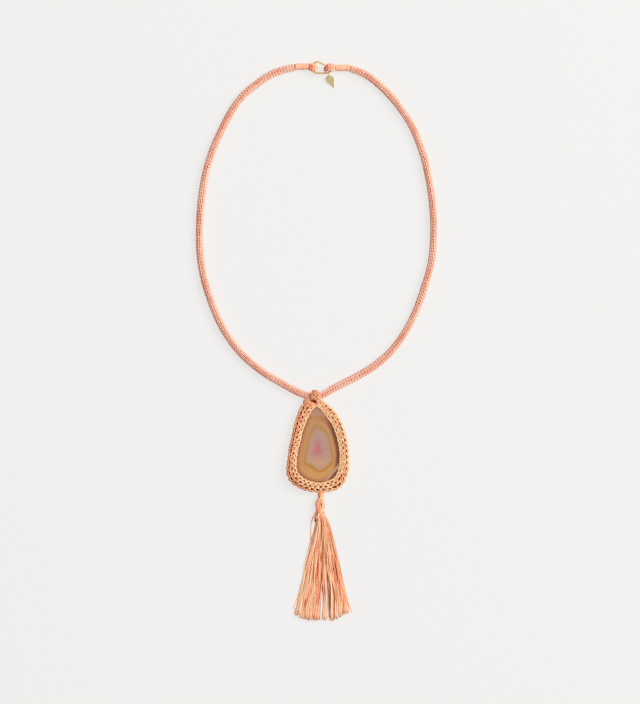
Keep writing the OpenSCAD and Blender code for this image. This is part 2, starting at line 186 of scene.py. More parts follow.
def grid_faces(strands, length, sides, closed=False):
    """Corner numbers of the quads between neighbouring rings, and of the caps at open ends."""
    i = np.arange(length if closed else length - 1)[:, None]
    k = np.arange(sides)[None, :]
    j, m = (i + 1) % length, (k + 1) % sides
    quads = np.stack([i * sides + k, j * sides + k, j * sides + m, i * sides + m], -1)
    start = (np.arange(strands) * length * sides)[:, None, None]
    quads = (quads.reshape(1, -1, 4) + start).reshape(-1, 4)
    if closed:
        return [quads]
    ends = np.stack([np.arange(sides), np.arange(sides)[::-1] + (length - 1) * sides])
    return [quads, (ends[None] + start).reshape(-1, sides)]


def new_mesh(name, points, faces, flat=False):
    """Object from an array of points in millimetres and a list of arrays of faces."""
    mesh = bpy.data.meshes.new(name)
    corners = [face for part in faces for face in part.tolist()]
    mesh.from_pydata((points * MM).tolist(), [], corners, shade_flat=flat)
    mesh.validate()
    piece = bpy.data.objects.new(name, mesh)
    bpy.context.scene.collection.objects.link(piece)
    return piece


def keep_number(piece, name, values):
    """Stores one number per point of the mesh, for the material to read."""
    layer = piece.data.attributes.new(name, "FLOAT", "POINT")
    layer.data.foreach_set("value", np.asarray(values, np.float32).ravel())


def yarn_mesh(name, lines, radius, out, warm, shade, sides=6, closed=False):
    """Mesh of many yarns of equally many points, with its UV map and colour numbers.

    warm runs from 0, coral, to 1, cream, and shade from 0, deep inside the fabric, to 1.
    """
    count, length = lines.shape[:2]
    rings = rings_of(lines, radius, out, sides, closed)
    piece = new_mesh(name, rings.reshape(-1, 3), grid_faces(count, length, sides, closed))
    for label, values in (("warm", warm), ("shade", shade)):
        values = np.broadcast_to(values, (count, length))
        keep_number(piece, label, np.repeat(values.ravel(), sides))
    steps = np.linalg.norm(np.diff(lines, axis=1, append=lines[:, -1:]), axis=2)
    run = np.cumsum(steps, axis=1) - steps
    mesh = piece.data
    corner = np.empty(len(mesh.loops), np.int32)
    mesh.loops.foreach_get("vertex_index", corner)
    around = (corner % sides).astype(float)
    quads = count * (length if closed else length - 1) * sides
    wrapped = np.arange(len(corner)) < 4 * quads
    wrapped &= np.isin(np.arange(len(corner)) % 4, (2, 3)) & (around == 0)
    around[wrapped] = sides
    uv = np.stack([run.ravel()[corner // sides], around / sides], axis=1)
    mesh.uv_layers.new(name="yarn").data.foreach_set("uv", uv.astype(np.float32).ravel())
    return piece


# %% [markdown]
# ## A lane of stitches
#
# Seen from its good side, a lane of knitting and a crochet chain are the same thing: a row of
# teardrop loops, each drawn through the one before. Each loop shows as a V. One formula gives the
# yarn's line for the whole lane, so the loops stay linked and the yarn stays in one piece.

# %% Chain of loops


def chain(rail, count, half_w, loop, depth, seed, samples=12, flare=0.35, phase=0.0,
          uneven=0.08):
    """Centre line of a chain of `count` loops along a rail, and the outward direction there.

    With turn running by 360 degrees a loop, the yarn is at
      along    = pitch / 360 (turn + 1.8 sin turn + 0.7 sin 2 turn + 0.25 sin 3 turn)
                 + loop pitch / 2 (1 - cos turn)
      sideways = -half_w sin turn (1 - flare cos turn)
      outward  = -depth (cos 2 turn + ((1 + cos turn) / 2)^4)
    The first line is nearly a staircase: the step forward is short and deep behind the foot, and
    the two legs stand side by side. The legs rise, and the foot and the head dive. uneven makes
    each loop a little wider or narrower, and a little early or late. phase shifts the whole
    chain, in pitches. Each point is then moved halfway to the middle of its neighbours, which
    rounds the turns.
    """
    samples_all = count * samples + (0 if rail.closed else 1)
    turn = 2 * np.pi * np.arange(samples_all) / samples
    pitch = (rail.length if rail.closed else rail.length / (1 + loop / count)) / count
    stairs = turn + 1.8 * np.sin(turn) + 0.7 * np.sin(2 * turn) + 0.25 * np.sin(3 * turn)
    along = pitch * (stairs / (2 * np.pi) + loop / 2 * (1 - np.cos(turn)) + phase)
    rng = np.random.default_rng(seed)
    luck = rng.normal(1, uneven, count + 1)[np.arange(samples_all) // samples]
    nudge = rng.normal(0, uneven / 2, count + 1) * pitch
    nudge[[0, -1]] = 0
    sideways = -half_w * luck * np.sin(turn) * (1 - flare * np.cos(turn))
    along += np.interp(turn / (2 * np.pi), np.arange(count + 1), nudge)
    place, side, out = rail.read(along)
    dive = depth * (np.cos(2 * turn) + ((1 + np.cos(turn)) / 2) ** 4)
    line = place + side * sideways[:, None] - out * dive[:, None]
    soft = (np.roll(line, 1, axis=0) + 2 * line + np.roll(line, -1, axis=0)) / 4
    if not rail.closed:
        soft[0], soft[-1] = line[0], line[-1]
    return soft, out, turn


# %% [markdown]
# ## Knitted cord
#
# The necklace is one length of silky knitted tube. From wrap to wrap the photo shows all of it,
# so its length is measured along this route. It lies on the surface in one loose loop, a little
# flattened, and rises only at its ends and where it passes through the bail. Six lanes of
# stitches run round it, over a core that keeps the gaps between them dark: its dark red-brown is
# painted shade in those gaps.

# %% Route of the cord
RIGHT, AHEAD, UP = np.eye(3)
CORD_Z, WRAP_Z = 2.65, 2.8
CORD_ROUTE = [
    (-15.75, 191.4), (-24, 189.5), (-34, 185.7), (-43.7, 179.2), (-53, 171.2), (-61, 160.4),
    (-68, 147.2), (-74.8, 131.8), (-79.5, 115.5), (-82.2, 98), (-83.5, 80), (-83.2, 62),
    (-80.7, 45), (-75, 26), (-66.7, 7.7), (-54.5, -9), (-40, -21.5), (-27, -29.4),
    (-15.8, -35.5), (-7.5, -38.7), (-2.7, -39.2), (2.5, -38.1), (11.2, -33), (24.2, -26.4),
    (37.3, -18.7), (49, -9), (58.6, 3.2), (66.6, 17.6), (73.2, 35.5), (78.4, 54), (80.2, 72),
    (79.8, 90), (77.4, 110), (72.6, 131), (65, 149.8), (55, 165), (43.4, 177.8), (32, 186.3),
    (20.95, 190.4),
]
heights = np.full(len(CORD_ROUTE), CORD_Z)
heights[[0, -1]] = WRAP_Z
heights[18:23] = 3.2, 4.2, 4.4, 4.3, 3.2  # through the bail
cord_path = smooth(np.c_[CORD_ROUTE, heights], 10)
cord_along = headings(cord_path)
cord_side = unit(np.cross(UP, cord_along))
cord_up = np.cross(cord_along, cord_side)
cord_steps = np.linalg.norm(np.diff(cord_path, axis=0), axis=1)

# %% [markdown]
# ## Colour numbers
#
# The yarn is dyed in stretches that run from coral over peach to cream. A few slow waves of
# random phase, added up, give each place its warmth, and each stitch differs a little besides.
# On top of this, the side of a stitch that faces the lamp on the right is painted lighter.

# %% Colour numbers


def drift(run, wavelength, seed):
    """Slow random wave, mostly from -1 to 1, along a length.

    It is a third of the sum of five sines of random phase. Sine k, from 0 to 4, has
    0.6 + 0.45 k waves in a wavelength.
    """
    phase = np.random.default_rng(seed).uniform(0, 2 * np.pi, 5)
    waves = [np.sin(2 * np.pi * run * (0.6 + 0.45 * k) / wavelength + phase[k])
             for k in range(5)]
    return np.sum(waves, axis=0) / 3


# %% Stitches of the cord
LANES, PITCH, STITCH_DEPTH = 6, 2.1, 0.26
YARN_R, CORE_R = 0.46, 1.9
CORD_HALF_W, CORD_HALF_H = 2.05, 1.85
LANE_WARMTH = [0.62, 0.58, 0.46, 0.46, 0.58, 0.48]
ends = np.minimum(np.arange(len(cord_path)), np.arange(len(cord_path))[::-1])
squeeze = 1 - 0.12 * np.clip(1 - ends / 12, 0, 1)
cord_run = np.concatenate([[0], np.cumsum(cord_steps)])
cord_turn = 60 + 14 * drift(cord_run, 190, 3)
cord_rails = tube_lanes(cord_path, cord_side, cord_up, CORD_HALF_W * squeeze,
                        CORD_HALF_H * squeeze, LANES, cord_turn)


def lane_yarns(rails, half_w, loop, warmth, seed):
    """Stitches of several rails that take equally many loops, as arrays for yarn_mesh.

    A stitch's warmth is its lane's, plus a slow drift, a little luck and 0.22 times how far it
    faces to the right, which is painted light: the side towards the lamp on the right is lighter.
    Its shade is 0 where the yarn dives and 1 on top, for painted shade in the dives.
    """
    count = int(round(np.mean([rail.length for rail in rails]) / PITCH))
    lines, outs, warms, shades = [], [], [], []
    for k, rail in enumerate(rails):
        line, out, turn = chain(rail, count, half_w, loop, STITCH_DEPTH, seed + k)
        run = np.linspace(0, rail.length, len(line))
        stitch = (turn / (2 * np.pi) + 0.2).astype(int)
        luck = np.random.default_rng(seed + k).normal(0, 1, count + 2)[stitch]
        # 0.22 * out[:, 0] is painted light, lighter on the side that faces the lamp on the right
        warm = warmth[k] + 0.22 * drift(run, 60, seed + 9 * k) + 0.1 * luck + 0.22 * out[:, 0]
        warms.append(np.clip(warm, 0, 1))
        shades.append(0.5 - 0.5 * np.cos(2 * turn))
        lines.append(line)
        outs.append(out)
    return np.array(lines), np.array(outs), np.array(warms), np.array(shades)


cord_yarns = lane_yarns(cord_rails, 0.66, 1.1, LANE_WARMTH, 11)
print("cord: %d lanes of %d points" % cord_yarns[0].shape[:2])

# %% [markdown]
# ## Shader arithmetic
#
# A material is a net of nodes. The class below wraps one output of that net, so that ordinary
# arithmetic adds the Math nodes, and one method adds any other node.

# %% Shader wires


class Wire:
    """One output in a node tree. Arithmetic on it adds Math nodes."""

    def __init__(self, tree, socket=None):
        self.tree, self.socket = tree, socket

    def node(self, kind, settings=None, sockets=None, out=0):
        """Adds a node: its settings first, then the values or links of its sockets."""
        made = self.tree.nodes.new(kind)
        for name, value in (settings or {}).items():
            if name == "stops":
                ramp = made.color_ramp.elements
                while len(ramp) < len(value):
                    ramp.new(0.5)
                for stop, (place, colour) in zip(ramp, value):
                    stop.position, stop.color = place, (*colour, 1)
            else:
                setattr(made, name, value)
        for name, value in (sockets or {}).items():
            if isinstance(value, Wire):
                self.tree.links.new(made.inputs[name], value.socket)
            else:
                made.inputs[name].default_value = value
        return Wire(self.tree, made.outputs[out])

    def output(self, number):
        """Another output of the same node."""
        return Wire(self.tree, self.socket.node.outputs[number])

    def maths(self, operation, *values):
        """A Math node on numbers or wires."""
        return self.node("ShaderNodeMath", {"operation": operation}, dict(enumerate(values)))

    def __add__(self, other): return self.maths("ADD", self, other)
    def __radd__(self, other): return self.maths("ADD", other, self)
    def __sub__(self, other): return self.maths("SUBTRACT", self, other)
    def __rsub__(self, other): return self.maths("SUBTRACT", other, self)
    def __mul__(self, other): return self.maths("MULTIPLY", self, other)
    def __rmul__(self, other): return self.maths("MULTIPLY", other, self)
    def __truediv__(self, other): return self.maths("DIVIDE", self, other)

    def sin(self): return self.maths("SINE", self)

    def between(self, low, high):
        """0 below low, 1 above high, and a smooth rise from one to the other."""
        return self.node("ShaderNodeMapRange", {"interpolation_type": "SMOOTHSTEP"},
                         {"Value": self, "From Min": low, "From Max": high})

    def mix(self, colour_a, colour_b):
        """Colour a where this is 0 and colour b where it is 1."""
        return self.node("ShaderNodeMix", {"data_type": "RGBA"},
                         {0: self, 6: colour_a, 7: colour_b}, out=2)

    def place(self):
        """Object coordinates, which are metres in the necklace's frame."""
        return self.node("ShaderNodeTexCoord", out=3)

    def noise(self, scale, detail, place=None):
        """Cloudy noise, with about `scale` clouds to one unit of the place."""
        return self.node("ShaderNodeTexNoise", sockets={
            "Vector": place or self.place(), "Scale": scale, "Detail": detail})

    def kept(self, name):
        """A number that the mesh keeps for each of its points."""
        return self.node("ShaderNodeAttribute", {"attribute_name": name}, out=2)


def linear(*rgb):
    """Linear colour with alpha of a colour written as 0 to 255."""
    c = np.array(rgb) / 255
    c = np.where(c <= 0.04045, c / 12.92, ((c + 0.055) / 1.055) ** 2.4)
    return (*c.tolist(), 1.0)


def material(name, **constants):
    """New material, the wire to build its nodes from, and its shader."""
    made = bpy.data.materials.new(name)
    made.use_nodes = True
    shader = made.node_tree.nodes["Principled BSDF"]
    for label, value in constants.items():
        shader.inputs[label.replace("_", " ")].default_value = value
    return made, Wire(made.node_tree), shader


def feed(shader, name, wire):
    """Links a wire to one socket of a material's shader."""
    wire.tree.links.new(shader.inputs[name], wire.socket)


def raise_by(shader, height, strength, distance):
    """Ridges and pits that follow a wire, at most a distance in metres high, for light alone."""
    feed(shader, "Normal", height.node("ShaderNodeBump", sockets={
        "Strength": strength, "Distance": distance, "Height": height}))


# %% [markdown]
# ## Yarn finish
#
# The yarn is a silky viscose, spun from a few plies. Its base colour comes from the warmth that
# the mesh carries. Where the yarn dives deep into the fabric, its colour is turned to a red-brown
# as painted shade, and a faint glow in its own colour is painted light. The twist of the plies is
# a sine across the UV map, which gives fine slanted ridges and painted shade in the grooves
# between the plies.

# %% Yarn materials
CORAL = linear(239, 150, 126)
CREAM = linear(250, 217, 194)
DEEP = linear(166, 68, 40)


def yarn_finish(name, coral, cream, deep, plies=3, twist=1.1, ridge=0.25, fleck=0.4,
                groove=0.22):
    """Silky plied yarn. twist is the number of turns in a millimetre of yarn.

    fleck is how much the warmth changes from place to place, and groove how dark the yarn is
    painted between its plies, as painted shade in the grooves. deep is the colour of the painted
    shade, there and where the yarn dives into the fabric.
    """
    # Emission in the yarn's own colour is painted light, a faint glow
    made, w, shader = material(name, Roughness=0.45, Sheen_Weight=0.16, Sheen_Roughness=0.4,
                               Sheen_Tint=linear(255, 225, 195), Emission_Strength=0.07,
                               Specular_IOR_Level=0.3)
    uv = w.node("ShaderNodeUVMap", {"uv_map": "yarn"})
    run = w.node("ShaderNodeSeparateXYZ", sockets={0: uv})
    ply = ((run * twist + run.output(1)) * (2 * np.pi * plies)).sin()
    colour = (w.kept("warm") + (w.noise(900.0, 2.0) - 0.5) * fleck).mix(coral, cream)
    # painted shade in the grooves between the plies
    colour = (ply.between(-0.2, -1.0) * groove).mix(colour, deep)
    # painted shade where the yarn dives deep into the fabric
    colour = w.kept("shade").between(-0.2, 0.55).mix(deep, colour)
    feed(shader, "Base Color", colour)
    feed(shader, "Emission Color", colour)
    raise_by(shader, ply, ridge, 0.0002)
    return made


cord_yarn = yarn_finish("knitted_yarn", CORAL, CREAM, DEEP)


def core_finish(name, colour, glow):
    """Fuzzy inside of a knitted or crocheted piece, seen through its gaps.

    Its dark colour is painted shade in those gaps, and its glow in its own colour is painted
    light, for light that has come through several yarns.
    """
    made, w, shader = material(name, Roughness=0.95, Specular_IOR_Level=0.1,
                               Emission_Strength=glow)
    fuzz = w.noise(1400.0, 3.0)
    dark = tuple(0.45 * c for c in colour[:3]) + (1.0,)
    fibres = fuzz.between(0.3, 0.7).mix(dark, colour)
    feed(shader, "Base Color", fibres)
    feed(shader, "Emission Color", fibres)
    raise_by(shader, fuzz, 0.5, 0.0003)
    return made


core_yarn = core_finish("core_yarn", linear(186, 84, 52), 0.16)

# %% [markdown]
# With the yarn and the finish at hand, the cord's stitches and core become pieces. Every piece is
# dressed in the same way: it gets its material and the body that it moves with, and the CAD
# nodes that it takes the place of are hidden.

# %% Cord pieces


def dress(piece, colour, slot, *nodes):
    """Adds a piece's material and body, and hides the nodes it stands for. slot is not used."""
    piece.data.materials.append(colour)
    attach(piece, "necklace")
    if nodes:
        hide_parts(*nodes)
    return piece


# The core's material, core_yarn, gives painted shade in the gaps between the lanes.
cord_core = yarn_mesh("cord_core", cord_path[None], CORE_R * squeeze, cord_up[None], 0.3, 0.3,
                      sides=14)
on_cord = []
for side_name, lanes in (("coral", [2, 3, 4]), ("cream", [5, 0, 1])):
    lines, outs, warms, shades = (m[lanes] for m in cord_yarns)
    stitches = yarn_mesh("cord_stitches_" + side_name, lines, YARN_R, outs, warms, shades)
    on_cord.append(dress(stitches, cord_yarn, "yarn"))
    print(stitches.name, len(stitches.data.polygons), "faces")
dress(cord_core, core_yarn, "yarn", "necklace_cord")

# %% [markdown]
# ## Wound ends
#
# Close to the clasp each end of the cord is bound with fine thread, wound tightly side by side.
# The thread is one long helix round an upright oval, which gives the fine grooves for free. It
# dips a little at both ends, where the real thread is pulled tight.

# %% Thread wound round an oval
TURN_POINTS = 28


def winding(start, stop, half_w, half_h, radius, dip=0.12):
    """Helix from start to stop, level, round an oval whose outside is half_w by half_h.

    At turn a the thread is at start + a / 360 of its width along, and its place across is
    (half_w - radius) cos a and (half_h - half_w) sign(sin a) + (half_w - radius) sin a.
    Returns the centre line and the outward direction.
    """
    length = np.linalg.norm(stop - start)
    axis = (stop - start) / length
    side = np.cross(axis, UP)
    count = int(length / (2 * radius * 0.98))
    angle = np.linspace(0, 2 * np.pi * count, count * TURN_POINTS)
    share = angle / angle[-1]
    end = np.minimum(share, 1 - share) * count
    reach = half_w - radius - dip * np.exp(-end * 1.6)
    level = reach * np.sin(angle) + (half_h - half_w) * np.sign(np.sin(angle) + 1e-9)
    line = start + axis * (radius + share * (length - 2 * radius))[:, None]
    line = line + side * (reach * np.cos(angle))[:, None] + UP * level[:, None]
    out = side * np.cos(angle)[:, None] + UP * np.sin(angle)[:, None]
    return line, out


# %% [markdown]
# The thread lies over a plain sleeve, so that nothing shows through between its turns. Its dark
# red-brown is painted shade between them.

# %% Sleeves and end wraps


def sleeve(name, path, half_w, half_t, sides, side=RIGHT, up=UP, closed=False):
    """Tube of oval section, with flat ends unless it is closed to a ring.

    A corner is the path's point plus half_w (cos a) along side plus half_t (sin a) along up.
    """
    path = np.asarray(path, float)
    angle = 2 * np.pi * np.arange(sides) / sides
    side, up = (np.broadcast_to(m, path.shape)[:, None] for m in (side, up))
    half_w, half_t = (np.broadcast_to(h, len(path))[:, None, None] for h in (half_w, half_t))
    rings = (path[:, None] + side * half_w * np.cos(angle)[:, None]
             + up * half_t * np.sin(angle)[:, None])
    return new_mesh(name, rings.reshape(-1, 3), grid_faces(1, len(path), sides, closed))


wrap_thread = yarn_finish("wound_thread", linear(246, 174, 140), linear(255, 214, 178),
                          linear(190, 110, 74), plies=2, twist=1.6, ridge=0.1)
for name, node, start, stop, y in (("left_wrap", "left_end_wrap", -16.7, -6.9, 191.5),
                                   ("right_wrap", "right_end_wrap", 21.9, 11.1, 190.6)):
    ends = np.array([[start, y, WRAP_Z], [stop, y, WRAP_Z]])
    line, out = winding(*ends, half_w=2.35, half_h=WRAP_Z, radius=0.25)
    turns = np.arange(len(line)) / TURN_POINTS
    thread = yarn_mesh(name + "_thread", line[None], 0.26, out[None],
                       0.55 + 0.25 * drift(turns, 9, int(y)), 0.8)
    inside = sleeve(name + "_sleeve", ends, 1.8, 2.4, 20, side=AHEAD)
    on_cord += [dress(thread, wrap_thread, "wrap_thread", node),
                dress(inside, core_yarn, "wrap_thread")]
    print(name, "%.0f turns" % turns[-1])

# %% [markdown]
# ## End loops
#
# Beyond each wrap the knitted cord goes on as a flattened loop, once round the clasp's wire and
# back into the wrap. The knit is the same as on the long cord, so the same lanes are laid on a
# wide, thin oval that follows the loop.

# %% Knitted loops round the clasp's wire
CLASP_Z, STRAND_Z, LOOP_Y = 3.25, 1.22, 190.9
BEND_R = CLASP_Z - STRAND_Z
LOOP_HALF_W, LOOP_HALF_T = 2.7, 1.2
# Columns: share of the way from wrap to bend, angle round the bend, share of the width, shift
# sideways, share of the thickness, share of the spread in height
LEFT_LOOP = [
    (0.03, -90, 0.74, 0.5, 0.86, 0.6), (0.4, -90, 0.92, 0.2, 0.9, 0.97),
    (1, -90, 1, 0, 0.98, 1), (1, -45, 0.97, 0, 0.94, 1), (1, 0, 0.92, 0, 0.9, 1),
    (1, 45, 0.97, 0, 0.94, 1), (1, 90, 1, 0, 0.98, 1), (0.4, 90, 0.92, 0.2, 0.9, 0.97),
    (0.03, 90, 0.74, 0.5, 0.86, 0.6),
]
RIGHT_LOOP = [
    (0, -90, 0.74, -0.2, 0.86, 0.5), (0.4, -90, 0.92, 0, 0.9, 0.97), (1, -90, 0.96, 0, 0.96, 1),
    (1, -45, 0.74, -0.7, 0.84, 1), (1, 0, 0.62, -1.2, 0.8, 1), (1, 45, 0.74, -0.7, 0.84, 1),
    (1, 90, 1, 0, 0.96, 1), (0.4, 90, 0.98, 0, 0.9, 0.97), (0, 90, 0.74, -0.2, 0.86, 0.5),
]


def loop_course(rows, wrap_x, bend_x, slack):
    """Middle line of a loop, the way it faces outwards and its half sizes.

    A row's place is its share of the way from the wrap to the bend, plus the bend's radius, with
    some slack, times the cosine of the angle. Its height rises from the wrap's to the clasp's
    with the root of that share, plus the bend's radius times the spread and the sine.
    """
    share, turn, wide, shift, thick, spread = smooth(rows, 8).T
    facing = np.sign(bend_x - wrap_x)
    turn = np.radians(turn)
    x = wrap_x + (bend_x - wrap_x) * share + facing * (BEND_R + slack) * np.cos(turn)
    z = (WRAP_Z + (CLASP_Z - WRAP_Z) * np.sqrt(np.maximum(share, 0))
         + BEND_R * spread * np.sin(turn))
    path = np.stack([x, LOOP_Y + shift, z], axis=1)
    out = unit(np.cross(headings(path) * (1, 0, 1), AHEAD))
    return path, out, LOOP_HALF_W * wide, LOOP_HALF_T * thick


loop_yarn = yarn_finish("loop_yarn", linear(238, 136, 112), linear(255, 208, 176),
                        linear(140, 54, 34))
for name, node, rows, wrap_x, bend_x, slack, tones in (
        ("left_loop", "left_end_loop", LEFT_LOOP, -7.45, -4.1, 0.3, (-0.2, 0.0, 0.7)),
        ("right_loop", "right_end_loop", RIGHT_LOOP, 11.65, 6.85, 0.7, (0.5, 0.4, -0.3))):
    path, up, half_w, half_t = loop_course(rows, wrap_x, bend_x, slack)
    rails = tube_lanes(path, AHEAD, up, half_w - 0.6, half_t - 0.5, 8, 22)
    lines, outs, warms, shades = lane_yarns(rails, 0.5, 1.12, [0.35, 0.8] * 4, 40)
    way = (lines[..., 0] - wrap_x) / (bend_x - wrap_x)
    warms = np.clip(0.5 * warms + np.interp(way, (0.3, 0.8, 1.3), tones), 0, 1)
    stitches = yarn_mesh(name + "_stitches", lines, 0.4, outs, warms, shades)
    # The core's dark red-brown is painted shade in the gaps between the loop's lanes.
    inside = sleeve(name + "_core", path, half_w - 0.6, half_t - 0.45, 14, AHEAD, up)
    on_cord += [dress(stitches, loop_yarn, "loop_yarn", node),
                dress(inside, core_yarn, "loop_yarn")]
    print(name, len(stitches.data.polygons), "faces")

# %% [markdown]
# The cord's first point and all its points are put in metres. Both its ends go back into the
# clasp.

tuple(cord_path[0] * MM)
(cord_path * MM).tolist()
print("cord declared with %d pieces on it" % len(on_cord))

# %% [markdown]
# ## Crochet bezel
#
# The stone is held by rounds of crochet, worked one after the other from its edge outwards, over
# the side and back underneath. A round on top sways from side to side: where it nears the next
# one the two are drawn together, and where it leaves it a small hole stays open. So each round is
# a chain on a swaying rail, with two stitches to a wave. The work is looser on the left and at
# the bottom. The table gives each round its place in the section of the bezel, and the way its
# good side faces.

# %% Outline of the pendant
# Columns: x and y of the stone's visible edge, x and y of the bezel's outer edge
BEZEL_ROWS = [
    (-1.2, -46.2, -3.2, -44.1), (-3.4, -48, -8.4, -42.2), (-5.2, -50.2, -11.6, -44.8),
    (-7.6, -54.3, -14.2, -50), (-9.8, -59.8, -16.6, -57.2), (-11.8, -66.5, -18.6, -65.8),
    (-13.8, -74.5, -20.5, -75), (-15.3, -82.5, -21.9, -84.2), (-15.2, -89.5, -22.3, -93),
    (-12.4, -94.4, -19, -99.4), (-7, -97.6, -10.6, -104.2), (0.3, -99, 0.2, -105.8),
    (6.9, -97.6, 10.2, -104.5), (11.6, -93.5, 16.9, -100.3), (13.8, -87.5, 20.1, -92),
    (14.1, -80, 20.7, -81.8), (12.9, -71, 19.8, -71), (10.4, -62.5, 17.2, -61.6),
    (6.4, -55.4, 12.8, -52.2), (2.6, -50.8, 7.4, -46.2), (0.3, -47.6, 2.2, -43),
]
WAVES = 41
edges = smooth(BEZEL_ROWS, 48, closed=True)
stone_edge, bezel_edge = edges[:, :2], edges[:, 2:]
band = bezel_edge - stone_edge
band_w = np.linalg.norm(band, axis=1)
middle = (stone_edge + bezel_edge) / 2
band_at = np.cumsum(np.linalg.norm(middle - np.roll(middle, 1, axis=0), axis=1))
band_at = (band_at - band_at[0]) / band_at[-1]
print("bezel: %.1f to %.1f mm wide" % (band_w.min(), band_w.max()))


def bezel_rail(share, height, tilt, sway):
    """Closed rail round the pendant at a share of the band's width and a height.

    It sways from side to side WAVES times on its way round, by `sway` of the band's width times
    a luck of its own for each wave, and it wanders a little besides. Its outward direction leans
    from level, away from the stone, by tilt degrees upwards. Where the band is narrow, the
    sideways direction is shorter and so the stitches are too. The work is looser on the left and
    at the bottom, where the photo shows larger holes.
    """
    across = np.c_[band / band_w[:, None], np.zeros(len(band))]
    luck = np.random.default_rng(int(100 * share)).uniform(0.7, 1.4, WAVES)
    luck = luck[(WAVES * band_at).astype(int)]
    wander = np.sin(2 * np.pi * band_at * np.arange(7, 15)[:, None] + 9 * share
                    + np.arange(8)[:, None] ** 2).sum(0) * 0.006
    loose = np.clip((-middle[:, 0] - 2) / 14, 0, 1) + np.clip((-94 - middle[:, 1]) / 6, 0, 1)
    loose = np.clip(loose, 0, 1)
    sway = sway * luck * (1 + 0.35 * loose)
    place = share + wander + sway * np.sin(2 * np.pi * WAVES * band_at)
    place = np.c_[stone_edge + band * place[:, None], np.full(len(band), float(height))]
    lean = np.radians(tilt)
    out = np.cos(lean) * across + np.sin(lean) * UP
    side = unit(np.cross(headings(place, True), out))
    width = np.clip(band_w / 6.6, 0.5, 1.15) * (1 - 0.16 * loose)
    return Rail(place, side * width[:, None], out, True)


# %% Rounds of the bezel
# Columns: share of the width, height, tilt of the good side, warmth, half width, radius of the
# yarn, sway
TOP_ROUNDS = [
    (0.125, 6.1, 102, 0.85, 0.3, 0.37, -0.018), (0.35, 6.35, 92, 0.75, 0.52, 0.4, 0.052),
    (0.635, 6.15, 84, 0.65, 0.52, 0.4, -0.058), (0.92, 5.1, 45, 0.6, 0.5, 0.42, 0.04),
    (0.985, 3.85, 12, 0.6, 0.55, 0.42, 0.02),
]
UNDER_ROUNDS = [
    (0.94, 2.6, -8, 0.5, 0.6, 0.42, 0), (0.84, 1.4, -40, 0.45, 0.6, 0.43, 0),
    (0.6, 0.8, -88, 0.5, 0.7, 0.43, 0), (0.3, 0.8, -90, 0.5, 0.7, 0.43, 0),
]
ROUND_POINTS = 14
TOP_STITCHES, UNDER_STITCHES = 2 * WAVES, WAVES + 5


def crochet_rounds(rounds, seed):
    """Chains of stitches on closed rails, with the arrays that yarn_mesh wants for each.

    A stitch's warmth is its round's plus a little luck. Outside, it is less on the left, which
    is pinker. Its shade is 0.38 - 0.55 cos (2 turn), so that the dives are dark.
    """
    for k, (share, height, tilt, warmth, half_w, radius, sway) in enumerate(rounds):
        rail = bezel_rail(share, height, tilt, sway)
        count = TOP_STITCHES if tilt > 0 else UNDER_STITCHES
        depth = 0.26 if tilt > 40 else 0.16
        line, out, turn = chain(rail, count, half_w, 1.1, depth, seed + 20 + k, ROUND_POINTS,
                                0.3, 0.5 * (k % 2), 0.15)
        luck = np.random.default_rng(seed + k).normal(0, 1, count).repeat(ROUND_POINTS)
        pink = np.clip(-line[:, 0] / 30, -0.1, 0.6) * (share > 0.6)
        warm = np.clip(warmth - 0.5 * pink + 0.14 * luck, 0, 1)
        yield line[None], radius, out[None], warm, 0.38 - 0.55 * np.cos(2 * turn)


bezel_yarn = yarn_finish("bezel_yarn", linear(242, 144, 104), linear(255, 218, 170),
                         linear(132, 42, 8))
for name, rounds in (("bezel_top", TOP_ROUNDS), ("bezel_under", UNDER_ROUNDS)):
    for k, course in enumerate(crochet_rounds(rounds, 60)):
        stitches = yarn_mesh("%s_round_%d" % (name, k + 1), *course, sides=8, closed=True)
        dress(stitches, bezel_yarn, "yarn", "stone_bezel")
        print(stitches.name, len(stitches.data.polygons), "faces")

# %% [markdown]
# Under the rounds lies a plain ring, the inside of the crochet. It is fuzzy, and it keeps the
# light from coming through the holes. Its dark red-brown is painted shade in the holes, and its
# faint glow is painted light.

# %% Inside of the bezel
# Columns: share of the width, height
CORE_SECTION = [
    (0.04, 5.84), (0.18, 5.86), (0.22, 5.45), (0.6, 5.4), (0.74, 4.9), (0.83, 4.0), (0.85, 2.7),
    (0.8, 1.3), (0.68, 0.6), (0.2, 0.6), (0.06, 0.85), (0.07, 1.1), (0.17, 1.15), (0.17, 5.81),
]
section = np.array(CORE_SECTION)[::-1]
place = stone_edge[::4, None] + band[::4, None] * section[:, :1]
ring = np.dstack([place, np.broadcast_to(section[:, 1], place.shape[:2])])
bezel_core = new_mesh("bezel_core", ring.reshape(-1, 3),
                      grid_faces(1, len(ring), len(section), closed=True))
deep_core = core_finish("deep_core", linear(158, 54, 14), 0.24)
dress(bezel_core, deep_core, "yarn")
print("inside of the bezel:", len(bezel_core.data.polygons), "faces")

# %% [markdown]
# ## Bail
#
# The bail is a band of crochet round the cord. Its strands lie in a herringbone: each goes from
# one edge of the band down to the middle and up to the other edge, and tucks under the next one.
# Towards the pendant the band grows narrower and leans to the right.

# %% Herringbone band
BAIL_X, BAIL_Y, BAIL_Z = -2.7, -38.8, 4.4
angle = np.radians(np.arange(0, 360, 4))
forward = np.clip(np.cos(angle), 0, 1)
backward = np.clip(-np.cos(angle), 0, 1)
bail_r = 3.72 - 0.45 * forward ** 2
bail_half = (3.35 - 2.3 * np.clip(forward / 0.75, 0, 1) ** 1.5 - 1.1 * backward ** 2) / 3.6
bail_line = np.stack([BAIL_X + 1.6 * forward ** 2, BAIL_Y - bail_r * np.cos(angle),
                      BAIL_Z + bail_r * np.sin(angle)], axis=1)
bail_out = np.stack([0 * angle, -np.cos(angle), np.sin(angle)], axis=1)
bail_rail = Rail(bail_line, np.outer(bail_half, RIGHT), bail_out, True)
print("bail: %.1f mm round" % bail_rail.length)


